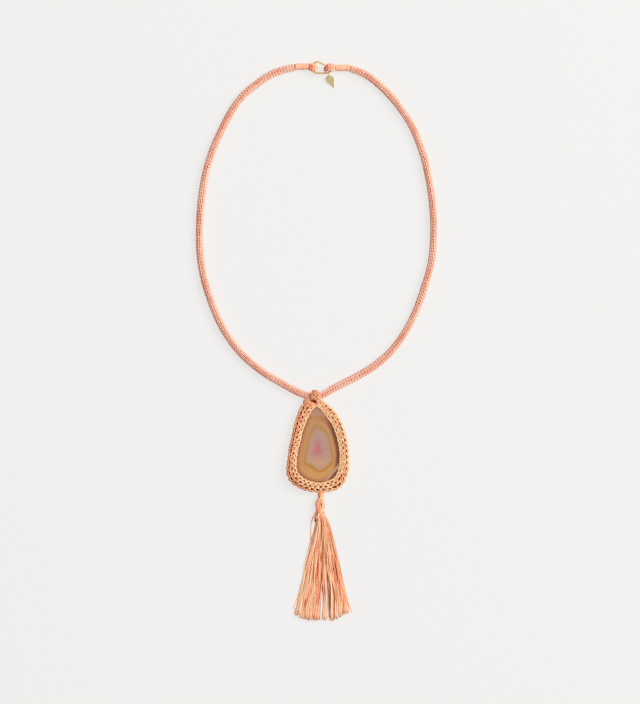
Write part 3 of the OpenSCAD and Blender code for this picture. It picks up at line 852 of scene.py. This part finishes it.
def herringbone(rail, count, half, rise, radius, hand, points=15):
    """One side's strands of a herringbone band, at equal steps along it.

    With u from -1 at the edge to 0.3, just past the middle, a strand is at -rise u along,
    hand half sin (90 u) sideways, and it tucks in by 1.7 radius u^6 at the edge and by
    1.3 radius where it dives under its neighbour at the middle.
    """
    u = np.linspace(-1, 0.3, points)[None, :]
    start = (np.arange(count) + 0.25 * hand)[:, None] * rail.length / count
    place, side, out = rail.read(start - rise * u)
    line = place + side * (hand * half * np.sin(np.pi / 2 * u))[..., None]
    tuck = radius * (1.7 * np.clip(-u, 0, 1) ** 6 + 1.3 * np.clip(u / 0.3, 0, 1) ** 2)
    return line - out * tuck[..., None], out


sides = [herringbone(bail_rail, 11, 3.0, 3.3, 0.56, hand) for hand in (1, -1)]
line, out = (np.concatenate(m) for m in zip(*sides))
luck = np.random.default_rng(5).uniform(0.1, 0.7, (len(line), 1))
y, z = line[..., 1], line[..., 2]
# in_light is painted shade: the strands are darker low down, at the front towards the pendant, and
# a little all over.
in_light = np.clip((z - 3.6) / 3, 0, 1) * np.clip((y + 42.2) / 1.2, 0, 0.9)
in_light = np.maximum(in_light, np.clip((y + 38.8) / 2, 0, 0.5))
bail_strands = yarn_mesh("bail_strands", line, 0.55, out, luck, 0.36 * in_light, sides=8)
dress(bail_strands, bezel_yarn, "yarn", "bail")
# The bail's core is dark red-brown as painted shade between its strands.
bail_core = sleeve("bail_core", bail_line - 0.2 * bail_out, 2.9 * bail_half, 0.4, 12,
                   up=bail_out, closed=True)
dress(bail_core, deep_core, "yarn")
print("strands of the bail:", len(line))

# %% [markdown]
# The bail is sewn to the bezel with the same yarn. Each strand of this join is a smooth curve
# through the few points of a row of the table, from inside the bail down into the bezel.

# %% Join of bail and bezel


def strands(name, rows, steps, radius, warm, shade, sides=6):
    """Mesh of yarns, each a smooth curve through the points of a row: x, y, z, x, y, z, ..."""
    lines = np.stack([smooth(np.reshape(row, (-1, 3)), steps) for row in rows])
    warm, shade = (np.reshape(m, (-1, 1)) for m in (warm, shade))
    return yarn_mesh(name, lines, radius, UP, warm, shade, sides)


JOIN = [
    (-0.8, -38.6, 6.4, 0.4, -40.2, 7, 1.5, -41.9, 6.8, 2.6, -43.6, 6.5, 3.6, -45.2, 5.4),
    (-1.3, -39.8, 6.2, -0.2, -41.1, 6.8, 0.8, -42.7, 6.7, 1.6, -44.2, 6.6, 2.2, -45.9, 5.5),
    (-0.7, -39.4, 6.2, 0.8, -40.8, 6.8, 2.3, -42.1, 6.4, 3.8, -43.4, 5.8, 5.2, -45.2, 4.2),
    (-0.5, -41.8, 5, 0.1, -43.6, 6.2, -0.8, -44.8, 6.7, -2.1, -45.3, 6.6, -3.6, -45.4, 5.4),
    (-5.6, -38.6, 4.2, -6.7, -40, 5.4, -7.9, -41, 5.8, -9.4, -42.2, 5.6, -10.4, -44.8, 4.4),
    (-5.7, -39.6, 3.8, -6.8, -41.1, 5.3, -7.7, -42.2, 6, -8.8, -43.3, 6.1, -9.6, -45.6, 5),
    (-5.7, -40.8, 3.4, -6.5, -42.6, 5.3, -7.1, -43.7, 6.2, -7.9, -44.7, 6.4, -8.9, -46.4, 5.4),
    (-5.8, -39.4, 3.4, -8, -40.4, 4.5, -9.7, -41, 4.7, -10.8, -42.6, 4.6, -11, -45.4, 3.8),
    (-2.1, -39.6, 6.2, -1.4, -41, 6.9, -0.6, -42.4, 6.8, 0.2, -43.8, 6.6, 0.9, -45.4, 5.4),
    (-1.9, -40.6, 5.4, -1.7, -41.7, 6.3, -1.4, -42.8, 6.5, -1, -44, 6.5, -0.5, -45.6, 5.4),
]
JOIN_WARMTH = [0.8, 0.6, 0.7, 0.4, 0.4, 0.6, 0.3, 0.2, 0.9, 0.5]
# shade 0.38 darkens the join a little, as painted shade between the bail and the bezel.
join = strands("bail_join", JOIN, 5, 0.46, JOIN_WARMTH, 0.38, sides=8)
dress(join, bezel_yarn, "yarn")
# The join's core is a dark piece in the cavity under the bail: painted shade there.
route = [(-2.6, -40.4, 3.6), (-2.8, -42.6, 3.4), (-2.7, -44.6, 3.3), (-2.4, -46, 3.2)]
inside = sleeve("join_core", route, [2.4, 4.6, 6.2, 5.0], [1.6, 1.9, 2.1, 2.1], 16)
dress(inside, deep_core, "yarn")
print("bail:", len(bail_strands.data.polygons) + len(join.data.polygons), "faces")

# %% [markdown]
# ## Agate slice
#
# An agate grows in layers, so its bands are nested closed lines of different shape. The lines
# below were chosen to follow the stone. Each is a table of points; between two lines the number
# of the band rises evenly. A grid of spokes and rings from the middle of the stone carries that
# number, and the material turns it into colour.

# %% Lines of the agate
STONE_MIDDLE = np.array([-0.5, -75.2])
HEART = [(-0.6, -70), (0.3, -72.8), (1.2, -76.2), (1.5, -78.2), (-0.5, -79), (-2.5, -78.7),
         (-3.2, -77.9), (-1.9, -74.2)]
MAUVE = [(-0.3, -63.2), (3.3, -65), (6, -69.4), (7.1, -75.2), (8.3, -80.6), (8.2, -84.2),
         (5.9, -86.2), (4.2, -88.2), (1.4, -89.6), (-1, -89.5), (-3.2, -87.4), (-5.6, -85.8),
         (-8.8, -84.7), (-8.6, -82), (-7.4, -76.1), (-6.1, -70.3), (-3.9, -65)]
OCHRE = [(-0.3, -60), (3.3, -62.3), (6.9, -67.6), (8.2, -75.2), (9.5, -79.7), (9.9, -84.6),
         (8.2, -87.1), (5.9, -88.8), (4.3, -90.4), (1.7, -91.5), (-1.4, -91.3), (-4, -89),
         (-7, -87.2), (-10, -85.9), (-10.1, -83), (-9.3, -78.5), (-8.4, -74.7), (-7.2, -70.3),
         (-5.6, -64.5), (-3.8, -60.5)]
TAN = [(-0.7, -57.4), (3.8, -59.1), (8.2, -66.7), (10, -75.2), (10.7, -80.6), (10, -87.3),
       (6.4, -91.8), (0.6, -94.2), (-5.2, -93), (-9.7, -89.5), (-11.2, -84.2), (-10.1, -76.1),
       (-8.3, -69.4), (-6.7, -62.3), (-4.7, -57.4)]
ORANGE = [(-2, -52.6), (2.2, -54.7), (6.3, -59.1), (9.5, -65.8), (11.7, -73.9), (12.3, -80.6),
          (11.7, -87.3), (8.6, -93.1), (1, -96.6), (-7, -94.9), (-11.9, -90.4), (-13.4, -84.2),
          (-11.9, -76.1), (-9.4, -67.2), (-7.8, -59.6), (-6, -53.8)]
SPOKES, RINGS = 288, 84
STONE_SHARE, STONE_BOTTOM, STONE_TOP = 0.15, 1.3, 5.8


def reach_of(outline, angle):
    """Distance of a closed line from the middle of the stone in each direction."""
    away = smooth(outline, 8, closed=True) - STONE_MIDDLE
    at = np.arctan2(away[:, 1], away[:, 0])
    order = np.argsort(at)
    return np.interp(angle, at[order], np.hypot(*away.T)[order], period=2 * np.pi)


spoke = 2 * np.pi * np.arange(SPOKES) / SPOKES
rim = reach_of(stone_edge + band * STONE_SHARE, spoke)
inner_lines = [reach_of(m, spoke) for m in (HEART, MAUVE, OCHRE, TAN, ORANGE)]
levels = np.stack([0 * rim, *inner_lines, rim])
print("agate: %.1f mm by %.1f mm" % (np.ptp(rim * np.cos(spoke)), np.ptp(rim * np.sin(spoke))))

# %% [markdown]
# The slice is flat on both faces with a softly ground edge. Its section is walked from the middle
# of the top outwards, down the edge and back to the middle of the underside. The two middles are
# single points with a fan of triangles, so that the mesh is closed.

# %% Stone mesh


def fan_faces(rings, spokes):
    """Faces of a closed solid of rings, with a middle point before the first and after the last.

    The quads are those of a tube whose corners come one later. Each end is a fan of triangles.
    """
    k = np.arange(spokes)
    m = (k + 1) % spokes
    last = 1 + (rings - 1) * spokes
    tris = np.vstack([np.stack([0 * k, 1 + k, 1 + m], 1),
                      np.stack([last + m, last + k, 0 * k + last + spokes], 1)])
    return [grid_faces(1, rings, spokes)[0] + 1, tris]


share = np.sin(np.pi / 2 * np.linspace(0, 1, RINGS)) ** 0.8
ground = 0.35 * np.clip(1 - (1 - share) * 16, 0, 1) ** 3
walk = np.concatenate([share[1:], [1, 0.985], np.linspace(0.9, 0.1, 9)])
walk_z = np.concatenate([STONE_TOP - ground[1:], [1.7], np.full(10, STONE_BOTTOM)])
reach = walk[:, None] * rim[None]
grid = np.stack([STONE_MIDDLE[0] + reach * np.cos(spoke), STONE_MIDDLE[1] + reach * np.sin(spoke),
                 np.broadcast_to(walk_z[:, None], reach.shape)], axis=-1).reshape(-1, 3)
top, bottom = (*STONE_MIDDLE, STONE_TOP), (*STONE_MIDDLE, STONE_BOTTOM)
stone = new_mesh("agate_stone", np.vstack([top, grid, bottom]), fan_faces(len(walk), SPOKES))
level = np.stack([np.interp(reach[:, k], levels[:, k], np.arange(len(levels)))
                  for k in range(SPOKES)], axis=1)
keep_number(stone, "band", np.concatenate([[0], level.ravel(), [0]]))
print("stone:", len(stone.data.polygons), "faces")

# %% [markdown]
# The colours run from a rose heart over mauve grey to a thin ochre line, and on through tan and
# orange to a brown rim. A ramp on the band's number gives them. Some tones belong to one part of
# the stone only, so they are laid over the ramp through masks: the ochre is strong only in the
# lower half, and mauve comes back at the tip. Two masks are painted shadow of the bezel: a dark
# red-brown along the rim on the right, and a darker mauve at the very top of the tip. Faint fine
# lines follow the bands, and a little noise bends them. The polish is high, so the roughness is
# low.

# %% Agate finish
# Columns: number of the band, red, green, blue
BAND_TONES = [
    (0, 206, 108, 126), (0.7, 198, 116, 132), (1.1, 190, 134, 140), (1.6, 186, 152, 148),
    (2, 184, 152, 134), (2.6, 178, 144, 104), (3, 176, 138, 88), (3.4, 194, 146, 94),
    (4, 200, 150, 106), (4.4, 190, 138, 92), (4.8, 206, 146, 102), (5.3, 188, 130, 92),
    (5.6, 162, 108, 76), (6, 140, 86, 52),
]
DEEPEN = (0.86, 0.83, 0.75, 1)


def agate_finish():
    """Banded stone from the number `band`, with tones that change from place to place.

    The number, moved a little by noise, goes over 6 into a ramp. Each tone of the list is then
    mixed in where its mask, a product of smooth steps in x, y and band, is above 0.
    """
    made, w, shader = material("polished_agate", Roughness=0.12, IOR=1.54, Coat_Weight=0.35,
                               Coat_Roughness=0.05, Subsurface_Weight=0.06)
    soft, fine = w.noise(160.0, 3.0), w.noise(900.0, 4.0)
    x = w.node("ShaderNodeSeparateXYZ", sockets={0: w.place()})
    y = x.output(1)
    band = w.kept("band") + (soft - 0.5) * 0.28 + (fine - 0.5) * 0.05
    colour = w.node("ShaderNodeValToRGB", {
        "stops": [(at / 6, linear(*rgb)[:3]) for at, *rgb in BAND_TONES]}, {0: band / 6.0})
    streak = w.maths("ABSOLUTE", (x - y * 0.9 - 0.0925) * 1000.0)
    lines = (band * 17.0 + soft * 11.0).sin()
    for mask, rgb in (
            # peach in the lower part of the inner field
            (y.between(-0.079, -0.086) * band.between(2.2, 1.7) * 0.9, (206, 160, 130)),
            # light tan round the lower end
            (y.between(-0.084, -0.092) * band.between(3.1, 3.5) * band.between(5.2, 4.6),
             (210, 156, 96)),
            # the ochre line
            (band.between(2.25, 2.75) * band.between(3.4, 3.0) * y.between(-0.062, -0.086),
             (194, 134, 22)),
            # a brown arc near the top
            (band.between(4.5, 4.9) * band.between(5.5, 5.1) * y.between(-0.064, -0.058) * 0.7,
             (178, 112, 70)),
            # the tip, and above it a darker mauve as painted shadow of the bezel
            (y.between(-0.0545, -0.0515), (188, 142, 124)),
            (y.between(-0.0505, -0.0475) * 0.7, (172, 120, 112)),
            # painted shadow of the bezel's lip along the rim on the right, and brown rim at the
            # bottom
            (x.between(0.003, 0.01) * band.between(4.2, 5.3) * 0.95, (108, 54, 24)),
            (band.between(5.3, 5.9) * y.between(-0.09, -0.096) * 0.6, (150, 86, 50)),
            # a pale streak across the rim at the lower right
            (streak.between(2.2, 0.4) * band.between(4.3, 4.8) * band.between(6.0, 5.7)
             * x.between(0.002, 0.007) * 0.75, (216, 168, 142)),
            # fine lines
            (lines.between(-1, 1) * 0.11, (235, 190, 150))):
        colour = mask.mix(colour, linear(*rgb))
    deepened = w.node("ShaderNodeMix", {"data_type": "RGBA", "blend_type": "MULTIPLY"},
                      {0: 1.0, 6: colour, 7: DEEPEN}, out=2)
    feed(shader, "Base Color", deepened)
    feed(shader, "Roughness", 0.1 + fine * 0.06)
    return made


dress(stone, agate_finish(), "agate", "agate_slice")
print("agate:", len(BAND_TONES), "tones in the ramp")

# %% [markdown]
# ## Clasp and tag
#
# The clasp, its gate, the small ring and the drop tag are right as solids, so they stay and only
# get their finish: thin gold plate over brass, brushed a little, with a duller tone in places.

# %% Gold plate
gold, w, shader = material("gold_plate", Metallic=1.0)
cloud = w.noise(700.0, 4.0)
stretch = w.node("ShaderNodeMapping", {}, {"Vector": w.place(), "Rotation": (0, 0, 0.45),
                                           "Scale": (900.0, 9000.0, 900.0)})
scratch = w.noise(1.0, 2.0, stretch)
feed(shader, "Base Color", cloud.mix(linear(255, 217, 153), linear(255, 238, 193)))
feed(shader, "Roughness", 0.24 + cloud * 0.16 + scratch * 0.08)
raise_by(shader, scratch, 0.15, 0.00002)
for node in ("clasp_frame", "clasp_gate", "tag_ring", "tag"):
    piece = bpy.data.objects[node]
    piece.data.materials.clear()
    piece.data.materials.append(gold)
    print(node, "is gold plated")

# %% [markdown]
# ## Knot above the tassel
#
# The tassel hangs on a thread that is knotted to the bezel's edge. The knot is a few slanted turns
# of the same yarn, and the thread leaves it as one loop, through the slot in the tassel's head
# and back.

# %% Knot and link
KNOT_X, KNOT_Y, KNOT_Z = 1.4, -107.7, 2.8
LINK_R, LINK_END_Y = 1.7, -111.4


def coil(turns, x, z, top, fall, half_w, half_h, slant):
    """Yarn wound round a bundle that runs along y, and the outward direction there.

    At the angle `turns` it is half_w cos across and half_h sin up from (x, z). It goes down the
    bundle from top by its share of `fall`, and slant moves it along the bundle.
    """
    cos, sin = np.cos(turns), np.sin(turns)
    line = np.stack([x + half_w * cos, top - fall * turns / turns[-1] + slant, z + half_h * sin],
                    axis=1)
    return line[None], np.stack([cos, 0 * turns, sin], axis=1)[None]


turns = np.linspace(0, 2 * np.pi * 4.5, 150)
swell = 1.35 + 0.55 * np.sin(np.pi * turns / turns[-1])
line, out = coil(turns, KNOT_X, KNOT_Z, KNOT_Y + 1.7, 3.4, swell, swell,
                 0.55 * np.sin(turns + 0.6))
# Painted light: each turn is lighter where it faces the lamp on the right, by cos(turns).
knot = yarn_mesh("link_knot", line, 0.6, out, 0.3 + 0.4 * np.cos(turns), 0.9, sides=8)
dress(knot, bezel_yarn, "loop_yarn", "tassel_link")
half = np.radians(np.linspace(90, -90, 25))
loop_y = np.concatenate([[KNOT_Y], LINK_END_Y - LINK_R * np.cos(half), [KNOT_Y]])
loop_z = KNOT_Z + LINK_R * np.concatenate([[1], np.sin(half), [-1]])
link_line = smooth(np.stack([np.full(len(loop_y), KNOT_X), loop_y, loop_z], axis=1), 3)
link_pair = np.stack([link_line + (shift, 0, 0) for shift in (-0.42, 0.42)])
link = yarn_mesh("link_thread", link_pair, 0.44, RIGHT, 0.8, 0.8, sides=8)
dress(link, bezel_yarn, "loop_yarn")
# The core's dark red-brown is painted shade between the turns.
route = [(KNOT_X, -106.2, KNOT_Z), (KNOT_X, -109.2, KNOT_Z)]
dress(sleeve("knot_core", route, 1.2, 1.2, 12), core_yarn, "loop_yarn")
print("link:", len(knot.data.polygons) + len(link.data.polygons), "faces")

# %% [markdown]
# ## Tassel
#
# The tassel is a bundle of thick silky threads, folded over the link and bound below the fold.
# The folded part is the head: every thread there is an arch round the link's slot. Below the
# binding the threads fan out over the surface as a flat, deep skirt, in locks that cling together.

# %% Edges of the tassel
# Columns: y, left edge, right edge, height
SKIRT_EDGES = np.array([
    (-118.5, -1.4, 3.3, 4.5), (-120.7, -1.6, 3.6, 4.6), (-124.3, -2.4, 5.7, 4.5),
    (-128.5, -3.1, 7.5, 4.2), (-133.8, -4.1, 9, 4), (-143.6, -6.9, 11.5, 3.8),
    (-150.2, -8.7, 13.2, 3.7), (-160, -10.9, 15.2, 3.5), (-169.8, -12.8, 17.6, 3.4),
    (-179.6, -14.8, 20.2, 3.2), (-187.8, -17.4, 21.6, 2.9), (-196, -19, 22.6, 2.6),
])
# x and y of the tip of each lock
LOCKS = [(-15.8, -192.6), (-12.8, -193.6), (-9.9, -194.6), (-7, -195), (-4.1, -195.5),
         (-1.2, -195.4), (3.1, -195.6), (4.7, -195), (8.7, -195.6), (11.6, -194.6),
         (14.6, -193.2), (17.6, -191.6), (20.2, -190.4)]
THREAD_R = 0.36
SKIRT_TOP, SKIRT_LENGTH = -118.5, 77
TIP_MIDDLE_X, TIP_HALF = 1.9, 20


def column_at(table, column, y):
    """A column of a table at y, on straight lines between the table's rows."""
    rows = table[np.argsort(table[:, 0])]
    return np.interp(y, rows[:, 0], rows[:, column])


def skirt_threads(per_lock, points, seed):
    """Centre lines of the skirt's threads, their radius and their height in the bundle, 0 to 1.

    A thread keeps its share of the width from edge to edge. On the way down it drifts off that
    share by a slow wave, and it rises and sinks in the bundle by another. Grooves between the
    locks lower it, and near the edges its level is kept up to about 5 |share| - 4.2.
    """
    rng = np.random.default_rng(seed)
    tips = np.array(LOCKS).repeat(per_lock, axis=0)
    count = len(tips)
    t = np.linspace(0, 1, points)[None, :]
    tip_y = (tips[:, 1] - 0.6 + abs(rng.normal(0, 1.7, count)))[:, None]
    y = SKIRT_TOP + (tip_y - SKIRT_TOP) * t
    left, right, high = (column_at(SKIRT_EDGES, column, y) for column in (1, 2, 3))
    middle, half = (left + right) / 2, (right - left) / 2 - THREAD_R
    tip_share = (tips[:, 0] - TIP_MIDDLE_X) / TIP_HALF + rng.normal(0, 0.045, count)
    top_share = np.clip(0.8 * tip_share + rng.normal(0, 0.22, count), -1, 1)
    share = top_share[:, None] * (1 - t) ** 1.5 + tip_share[:, None] * (1 - (1 - t) ** 1.5)
    share *= 1 + 0.12 * np.sin(np.pi * t)
    phase, wander, length = (rng.uniform(0, 1, (count, 1)) for _ in range(3))
    wave = np.sin(2 * np.pi * (phase + t * (1 + 1.4 * length))) * (0.12 + 0.55 * wander)
    edge = 1 - 0.14 * phase
    x = middle + np.clip(share, -edge, edge) * half + wave * np.sqrt(t) * 0.9
    level = np.tile(np.linspace(0, 1, per_lock), len(LOCKS))[:, None]
    level = np.clip(level + 0.22 * np.sin(2 * np.pi * (wander + t * (0.7 + phase))), 0, 1)
    rest = high * np.sqrt(np.clip(1.02 - np.clip(abs(share), 0, 1) ** 4, 0.2, 1))
    radius = THREAD_R * (0.72 + 0.28 * np.clip(t * 3, 0, 1)) + 0 * y
    groove = np.clip(3 * np.cos(2 * np.pi * (4.5 * share + 0.35 * np.sin(5 * t))) - 1.8, 0, 1)
    level = np.maximum(level * (1 - 0.45 * groove * (1 - t ** 3)),
                       np.clip(5 * abs(share) - 4.2, 0, 0.8) * (0.5 + 0.5 * length))
    z = radius + level * np.maximum(rest - 2 * radius, 0)
    return np.stack([x, y, z], axis=-1), radius, level


tassel_thread = yarn_finish("tassel_thread", linear(239, 151, 115), linear(252, 216, 176),
                            linear(180, 102, 42), plies=2, twist=0.42, ridge=0.15,
                            fleck=0.2, groove=0.12)
lines, radius, level = skirt_threads(21, 30, 21)
pick = np.random.default_rng(8).choice([0.0, 0.35, 0.7, 1.0], len(lines), p=[0.25] * 4)[:, None]
x, y = lines[..., 0], lines[..., 1]
down = (SKIRT_TOP - y) / SKIRT_LENGTH
top = np.exp(-10 * down)
tips = np.clip(7 * down - 6, 0, 1)
left = np.clip((column_at(SKIRT_EDGES, 1, y) + 4 + 8 * down - x) / 4, 0, 1)
right = np.clip((x + 4 + 8 * down - column_at(SKIRT_EDGES, 2, y)) / 4, 0, 1)
# Painted light: warmth and shade are raised on the left and lowered on the right, against the lamp
# on the right. Near the top both are raised.
warm = np.clip(pick - 0.25 + 0.26 * down + 0.2 * top + 0.38 * left - 0.1 * right, 0, 1)
# Painted shade: threads low in the bundle are darker. Painted light: the spread tips are lighter.
shade = (-0.22 + 0.1 * down + (0.46 + 0.32 * down) * level ** 1.3
         + 0.32 * top + 0.2 * left - 0.12 * right + 0.45 * tips)
skirt = yarn_mesh("tassel_skirt", lines, radius, UP, warm, shade)
dress(skirt, tassel_thread, "tassel_thread", "tassel")
y, left, right, high = SKIRT_EDGES[1:9].T
taper = np.array([1, 1, 1, 1, 0.95, 0.8, 0.5, 0.15])
# The core's orange-brown is painted shade in the gaps between the threads.
inside = sleeve("skirt_core", np.stack([(left + right) / 2, y, high * 0.42], axis=1),
                ((right - left) / 2 - 1.5) * taper, (high * 0.42 - 0.6) * taper, 16)
dress(inside, core_finish("skirt_core", linear(206, 126, 82), 0.1), "tassel_thread")
print("skirt: %d threads, %d faces" % (len(lines), len(skirt.data.polygons)))

# %% [markdown]
# The threads of the head are arches round the slot. An arch is given by how far out it lies, from
# the slot to the head's edge, and by its height in the bundle.

# %% Head of the tassel
SLOT_X, SLOT_Y, SLOT_HALF = 1.6, -114.4, 0.5
NECK_Y, INNER_TOP_Y, HEAD_Z = -119.9, -111.9, 2.7
ARCH_R = 0.54
# Columns: y, left edge, right edge
HEAD_EDGES = np.array([(-120.6, -1.7, 3.6), (-118.4, -1.8, 3.5), (-116.6, -2.5, 3.7),
                       (-114.6, -3.1, 4.0), (-112.6, -2.8, 3.9), (-110.8, -2.0, 3.4),
                       (-109.6, -0.6, 2.6)])


def head_arches(columns, layers, points):
    """Arches from the neck up one side of the slot and down the other.

    Along an arch t runs from 0 to 1. Its height over the neck is that of its top times
    sin(180 t)^0.7, and its place across runs from the left edge of its column to the right one
    with cos(180 t).
    """
    out = np.linspace(0.15, 1, columns)[:, None, None]
    layer = np.linspace(-1, 1, layers)[None, :, None]
    t = np.linspace(0, 1, points)[None, None, :]
    top = INNER_TOP_Y + 2.2 * out
    y = NECK_Y + (top - NECK_Y) * np.sin(np.pi * t) ** 0.7 + 0 * layer
    left = column_at(HEAD_EDGES, 1, y) + 0.45
    right = column_at(HEAD_EDGES, 2, y) - 0.45
    slot = SLOT_HALF * np.sqrt(np.clip(1 - ((y - SLOT_Y) / 0.9) ** 2, 0, 1)) + 0.2
    swing = np.cos(np.pi * t)
    bend = np.sign(swing) * abs(swing) ** 0.5
    far_left = SLOT_X - slot + (left - SLOT_X + slot) * out
    far_right = SLOT_X + slot + (right - SLOT_X - slot) * out
    x = np.where(bend > 0, SLOT_X + (far_left - SLOT_X) * bend,
                 SLOT_X - (far_right - SLOT_X) * bend)
    high = 1.95 * np.sqrt(np.clip(1.05 - (0.9 * out) ** 2, 0, 1))
    z = HEAD_Z + layer * high + 0 * x
    line = np.stack([x, y + 0 * x, z], axis=-1)
    return line.reshape(-1, points, 3), (layer + 0 * out).reshape(-1)


lines, layer = head_arches(4, 6, 34)
warm = np.random.default_rng(3).uniform(0.1, 0.65, (len(lines), 1))
# Painted shade: arches lower in the bundle are darker.
head = yarn_mesh("tassel_head", lines, ARCH_R, UP, warm,
                 np.clip(0.28 + 0.28 * layer, 0, 0.4)[:, None])
dress(head, tassel_thread, "tassel_thread")
# The core's dark red-brown is painted shade between the arches and in the slot.
inside = sleeve("head_core", [(SLOT_X, -112.4, 2.3), (SLOT_X, -119, 2.3)], 1.6, 1.4, 12)
dress(inside, deep_core, "tassel_thread")
print("head: %d arches" % len(lines))

# %% [markdown]
# A coral thread binds the neck in a few slanted turns, and its two ends hang out on the left.
# Beside them lie two dark red-brown strands, painted shade for shadowed gaps at the neck. Some
# threads have come loose from the skirt.

# %% Binding and loose threads
turns = np.linspace(0, 2 * np.pi * 5, 170)
line, out = coil(turns, 0.95, 2.9, -117.7, 2.8, 3.0, 2.4, 0.6 * np.cos(turns))
# Painted light: each turn is lighter where it faces the lamp on the right, by cos(turns).
bound = yarn_mesh("neck_binding", line, 0.38, out, 0.4 + 0.45 * np.cos(turns), 0.7)
dress(bound, bezel_yarn, "tassel_thread")
TIES_AND_SHADE = [
    (-0.2, -120.9, 5.2, -0.7, -122, 5.6, -1.5, -123.2, 5.3, -2.2, -124.6, 4.3),
    (-0.9, -120.6, 5.1, -1.3, -121.4, 5.3, -1.7, -122.1, 5.0, -2.2, -122.6, 4.4),
    (-2.2, -123.8, 4.4, -2.4, -124.8, 4.5, -2.5, -125.8, 4.3, -2.4, -127, 3.4),
    (-2.4, -121.4, 4.2, -3.6, -122.4, 3.9, -3.5, -123.8, 3.6, -2.6, -124.8, 3.2),
]
# The second and third strands, with shade -0.2, are dark red-brown painted shade for gaps.
ties_and_shade = strands("neck_ties", TIES_AND_SHADE, 6, 0.42, [0.9, 0, 0, 0.5], [0.8, -0.2, -0.2, 0.8])
dress(ties_and_shade, bezel_yarn, "tassel_thread")
LOOSE = [
    (-1.2, -119.5, 3.4, -3.2, -121.5, 3.2, -2.5, -124, 2.6, -3.2, -126.5, 1.2),
    (-1.4, -120.2, 2, -4.2, -123.6, 0.7, -5.6, -130, 0.5, -5.7, -139.6, 0.5),
    (-7.6, -156, 1.5, -11.4, -169, 0.8, -15.4, -181, 0.5, -17.9, -187.6, 0.5),
    (-8.2, -160, 1, -11.8, -172, 0.6, -14.6, -183, 0.5, -17.4, -191.4, 0.5),
    (-7.8, -162, 1.4, -10.8, -173, 0.9, -13.4, -184, 0.6, -15.9, -190.2, 0.5),
    (15.5, -168, 1.5, 18.5, -178, 0.9, 21.6, -186, 0.5, 23.4, -190, 0.5),
    (-6.2, -150, 1.8, -9.8, -163, 0.7, -13.2, -173, 0.5, -14.8, -183, 0.5),
    (9.4, -150, 2, 13.6, -158, 0.8, 15.4, -168, 0.5, 18.6, -176, 0.6),
]
loose = strands("loose_threads", LOOSE, 9, 0.42, [0.1, 0.6, 0.9, 0.3, 0.7, 0.7, 0.4, 0.9], 0.8)
dress(loose, tassel_thread, "tassel_thread")
print("loose threads:", len(LOOSE))

# %% [markdown]
# ## Studio
#
# The photo is lit softly from the right and a little from above the picture, so that a pale
# shadow falls on the left. The floor is a smooth off-white board.

# %% Board and light
BOARD_HALF = 3000.0
board = new_mesh("board", BOARD_HALF * np.array([[-1, -1, 0], [1, -1, 0], [1, 1, 0], [-1, 1, 0]]),
                 [np.array([[0, 1, 2, 3]])], flat=True)
paper, w, shader = material("board_paper", Roughness=0.9, Specular_IOR_Level=0.2,
                            Emission_Strength=0.78, Emission_Color=(0.93, 0.92, 0.91, 1))
grain = w.noise(500.0, 3.0)
feed(shader, "Base Color", grain.mix(linear(103, 102, 101), linear(108, 107, 106)))
board.data.materials.append(paper)

world = bpy.data.worlds.new("studio")
world.use_nodes = True
sky = world.node_tree.nodes["Background"].inputs
sky["Color"].default_value = (0.97, 0.965, 0.96, 1)
sky["Strength"].default_value = 0.42
bpy.context.scene.world = world

LAMP_AWAY, LAMP_SIZE, LAMP_POWER = 3.2, 2.0, 122
aim = unit(np.array([0.85, 0.4, 0.85]))
key = bpy.data.lights.new("soft_key", "AREA")
key.size, key.energy, key.color = LAMP_SIZE, LAMP_POWER, (1.0, 0.965, 0.93)
lamp = bpy.data.objects.new("soft_key", key)
lamp.location = aim * LAMP_AWAY
lamp.rotation_euler = Vector(-aim).to_track_quat("-Z", "Y").to_euler()
bpy.context.scene.collection.objects.link(lamp)
bpy.context.scene.view_settings.view_transform = "Standard"
print("lamp %.1f m away" % LAMP_AWAY)
